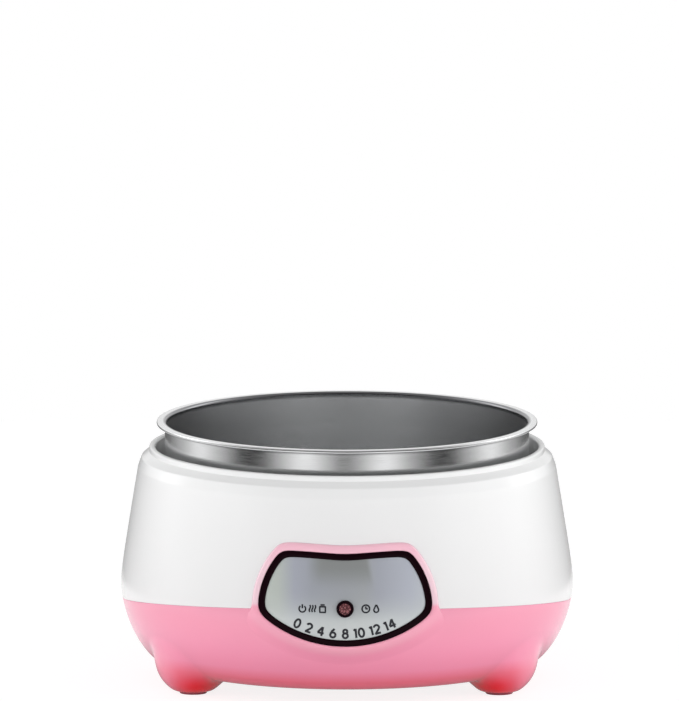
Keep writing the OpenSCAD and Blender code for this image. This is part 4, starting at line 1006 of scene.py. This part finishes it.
def stage():
    """A plain pale floor, white to the camera where nothing shades it; to what is glossy it glows with the
    studio's soft boxes and cards, and with a painted shadow under the object.
    """
    material, nodes = new_material("floor")
    path = nodes.add("ShaderNodeLightPath").outputs
    axes = nodes.axes(nodes.place())
    tone = nodes.blend(path["Is Camera Ray"], shade(WHITE, FLOOR_TONE), shade(WHITE, FLOOR_SEEN))
    diffuse = nodes.add("ShaderNodeBsdfDiffuse", {"Color": tone})
    lift = nodes.times(path["Is Camera Ray"], FLOOR_LIFT)
    glow = nodes.add("ShaderNodeEmission", {"Color": rgba(WHITE), "Strength": lift})
    plain = nodes.add("ShaderNodeAddShader", {0: diffuse.outputs[0], 1: glow.outputs[0]})
    distance = nodes.far(axes[0], axes[1])
    # Glossy surfaces see a painted shadow on the floor near the axis, and the studio further out
    near = nodes.blend(nodes.smooth(distance, *PAINTED_SHADOW_FADE),
                       shade(WHITE, FLOOR_PAINTED_SHADOW), shade(WHITE, FLOOR_TONE))
    mirrored = nodes.blend(nodes.smooth(distance, *MIRROR_FADE), near,
                           studio(nodes, axes[0], axes[1], GLOSS, GLOSS_PEAK))
    shine = nodes.add("ShaderNodeEmission", {"Color": mirrored})
    both = nodes.add("ShaderNodeMixShader",
                     {0: path["Is Glossy Ray"], 1: plain.outputs[0], 2: shine.outputs[0]})
    nodes.add("ShaderNodeOutputMaterial", {"Surface": both.outputs[0]})
    rings = turned([(r, 0.0) for r in FLOOR_RINGS], circle_angles(FLOOR_STEPS))
    points, faces = skin(rings, wrap=False)
    faces.append(tuple(range(FLOOR_STEPS)))
    floor = new_piece("floor", points, faces, material, body=None)


def world():
    """White for the camera, an even light, and the studio for what is glossy."""
    scene_world = bpy.data.worlds.new("studio")
    bpy.context.scene.world = scene_world
    scene_world.use_nodes = True
    nodes = Nodes(scene_world.node_tree)
    path = nodes.add("ShaderNodeLightPath").outputs
    way = nodes.axes(nodes.place("Generated"))
    low = studio(nodes, way[0], way[1], GLOSS, GLOSS_PEAK)
    high = studio(nodes, way[0], way[1], GLOSS_ABOVE, ABOVE_PEAK, mirrored=True)
    high = nodes.blend(nodes.smooth(way[2], *OVERHEAD_FADE), high, shade(WHITE, OVERHEAD))
    gloss = nodes.blend(nodes.smooth(way[2], *ABOVE_FADE), low, high)
    front = nodes.times(nodes.smooth(way[1], *FRONT_FADE), FRONT_DIM)
    even = nodes.scaled(nodes.ramp(way[2], greys(SKY)), nodes.math("SUBTRACT", 1.0, front))
    level = nodes.blend(path["Is Glossy Ray"], even, gloss)
    seen = nodes.math("MAXIMUM", path["Is Camera Ray"], path["Is Transmission Ray"])
    back = nodes.add("ShaderNodeBackground", {"Color": nodes.blend(seen, level, rgba(WHITE))})
    nodes.add("ShaderNodeOutputWorld", {"Surface": back.outputs[0]})


# In metres, as (name, place, power in watts)
SOFT_BOXES = (("left_box", (-1.45, -0.55, 0.25), 7.6), ("right_box", (1.45, -0.55, 0.25), 8.8))
SOFT_BOX_SIZE, SOFT_BOX_AIM = 1.2, (0, 0, 0.045)


def soft_box(name, place, power):
    """A square area lamp that faces the object."""
    data = bpy.data.lights.new(name, "AREA")
    data.energy, data.size = power, SOFT_BOX_SIZE
    box = in_scene(name, data)
    box.location = place
    box.visible_glossy = False          # what is glossy sees the studio instead
    aim = Vector(SOFT_BOX_AIM) - Vector(place)
    box.rotation_euler = aim.to_track_quat("-Z", "Y").to_euler()


SCALE_PX = 2.739                    # pixels of the photograph per millimetre at the object
VIEW_UP = 9.2                       # degrees that the camera looks down
AXIS_PX, GROUND_PX = 347.0, 678.9   # the object's axis, and the point of it on the table
VIEW_TURN = 0.5                     # degrees that the camera stands to the right of the panel
IMAGE_W, IMAGE_H = 679, 701
CAMERA_FAR = 1000.0                 # how far the camera stands away


def camera():
    """A parallel view, as the photograph shows no perspective."""
    up, turn = math.radians(VIEW_UP), math.radians(VIEW_TURN)
    right, raised = (IMAGE_W / 2 - AXIS_PX) / SCALE_PX, (GROUND_PX - IMAGE_H / 2) / SCALE_PX
    back = raised * math.sin(up) - CAMERA_FAR * math.cos(up)
    height = raised * math.cos(up) + CAMERA_FAR * math.sin(up)
    place = (right * math.cos(turn) - back * math.sin(turn),
             right * math.sin(turn) + back * math.cos(turn), height)
    data = bpy.data.cameras.new("camera")
    data.type = "ORTHO"
    data.ortho_scale = IMAGE_H / SCALE_PX * MM
    view = in_scene("camera", data)
    view.location = [c * MM for c in place]
    view.rotation_euler = (math.pi / 2 - up, 0, turn)
    bpy.context.scene.camera = view


camera()
paint_nodes()
cut_for_lamp(upper_shell())
cut_for_lamp(base_shell())
foot_pads()
panel_border()
panel_frame()
panel_face()
lamp()
panel_marks()
liner()
stage()
world()
for name, place, power in SOFT_BOXES:
    soft_box(name, place, power)
bpy.context.scene.view_settings.view_transform = "Standard"

bpy.context.view_layer.update()
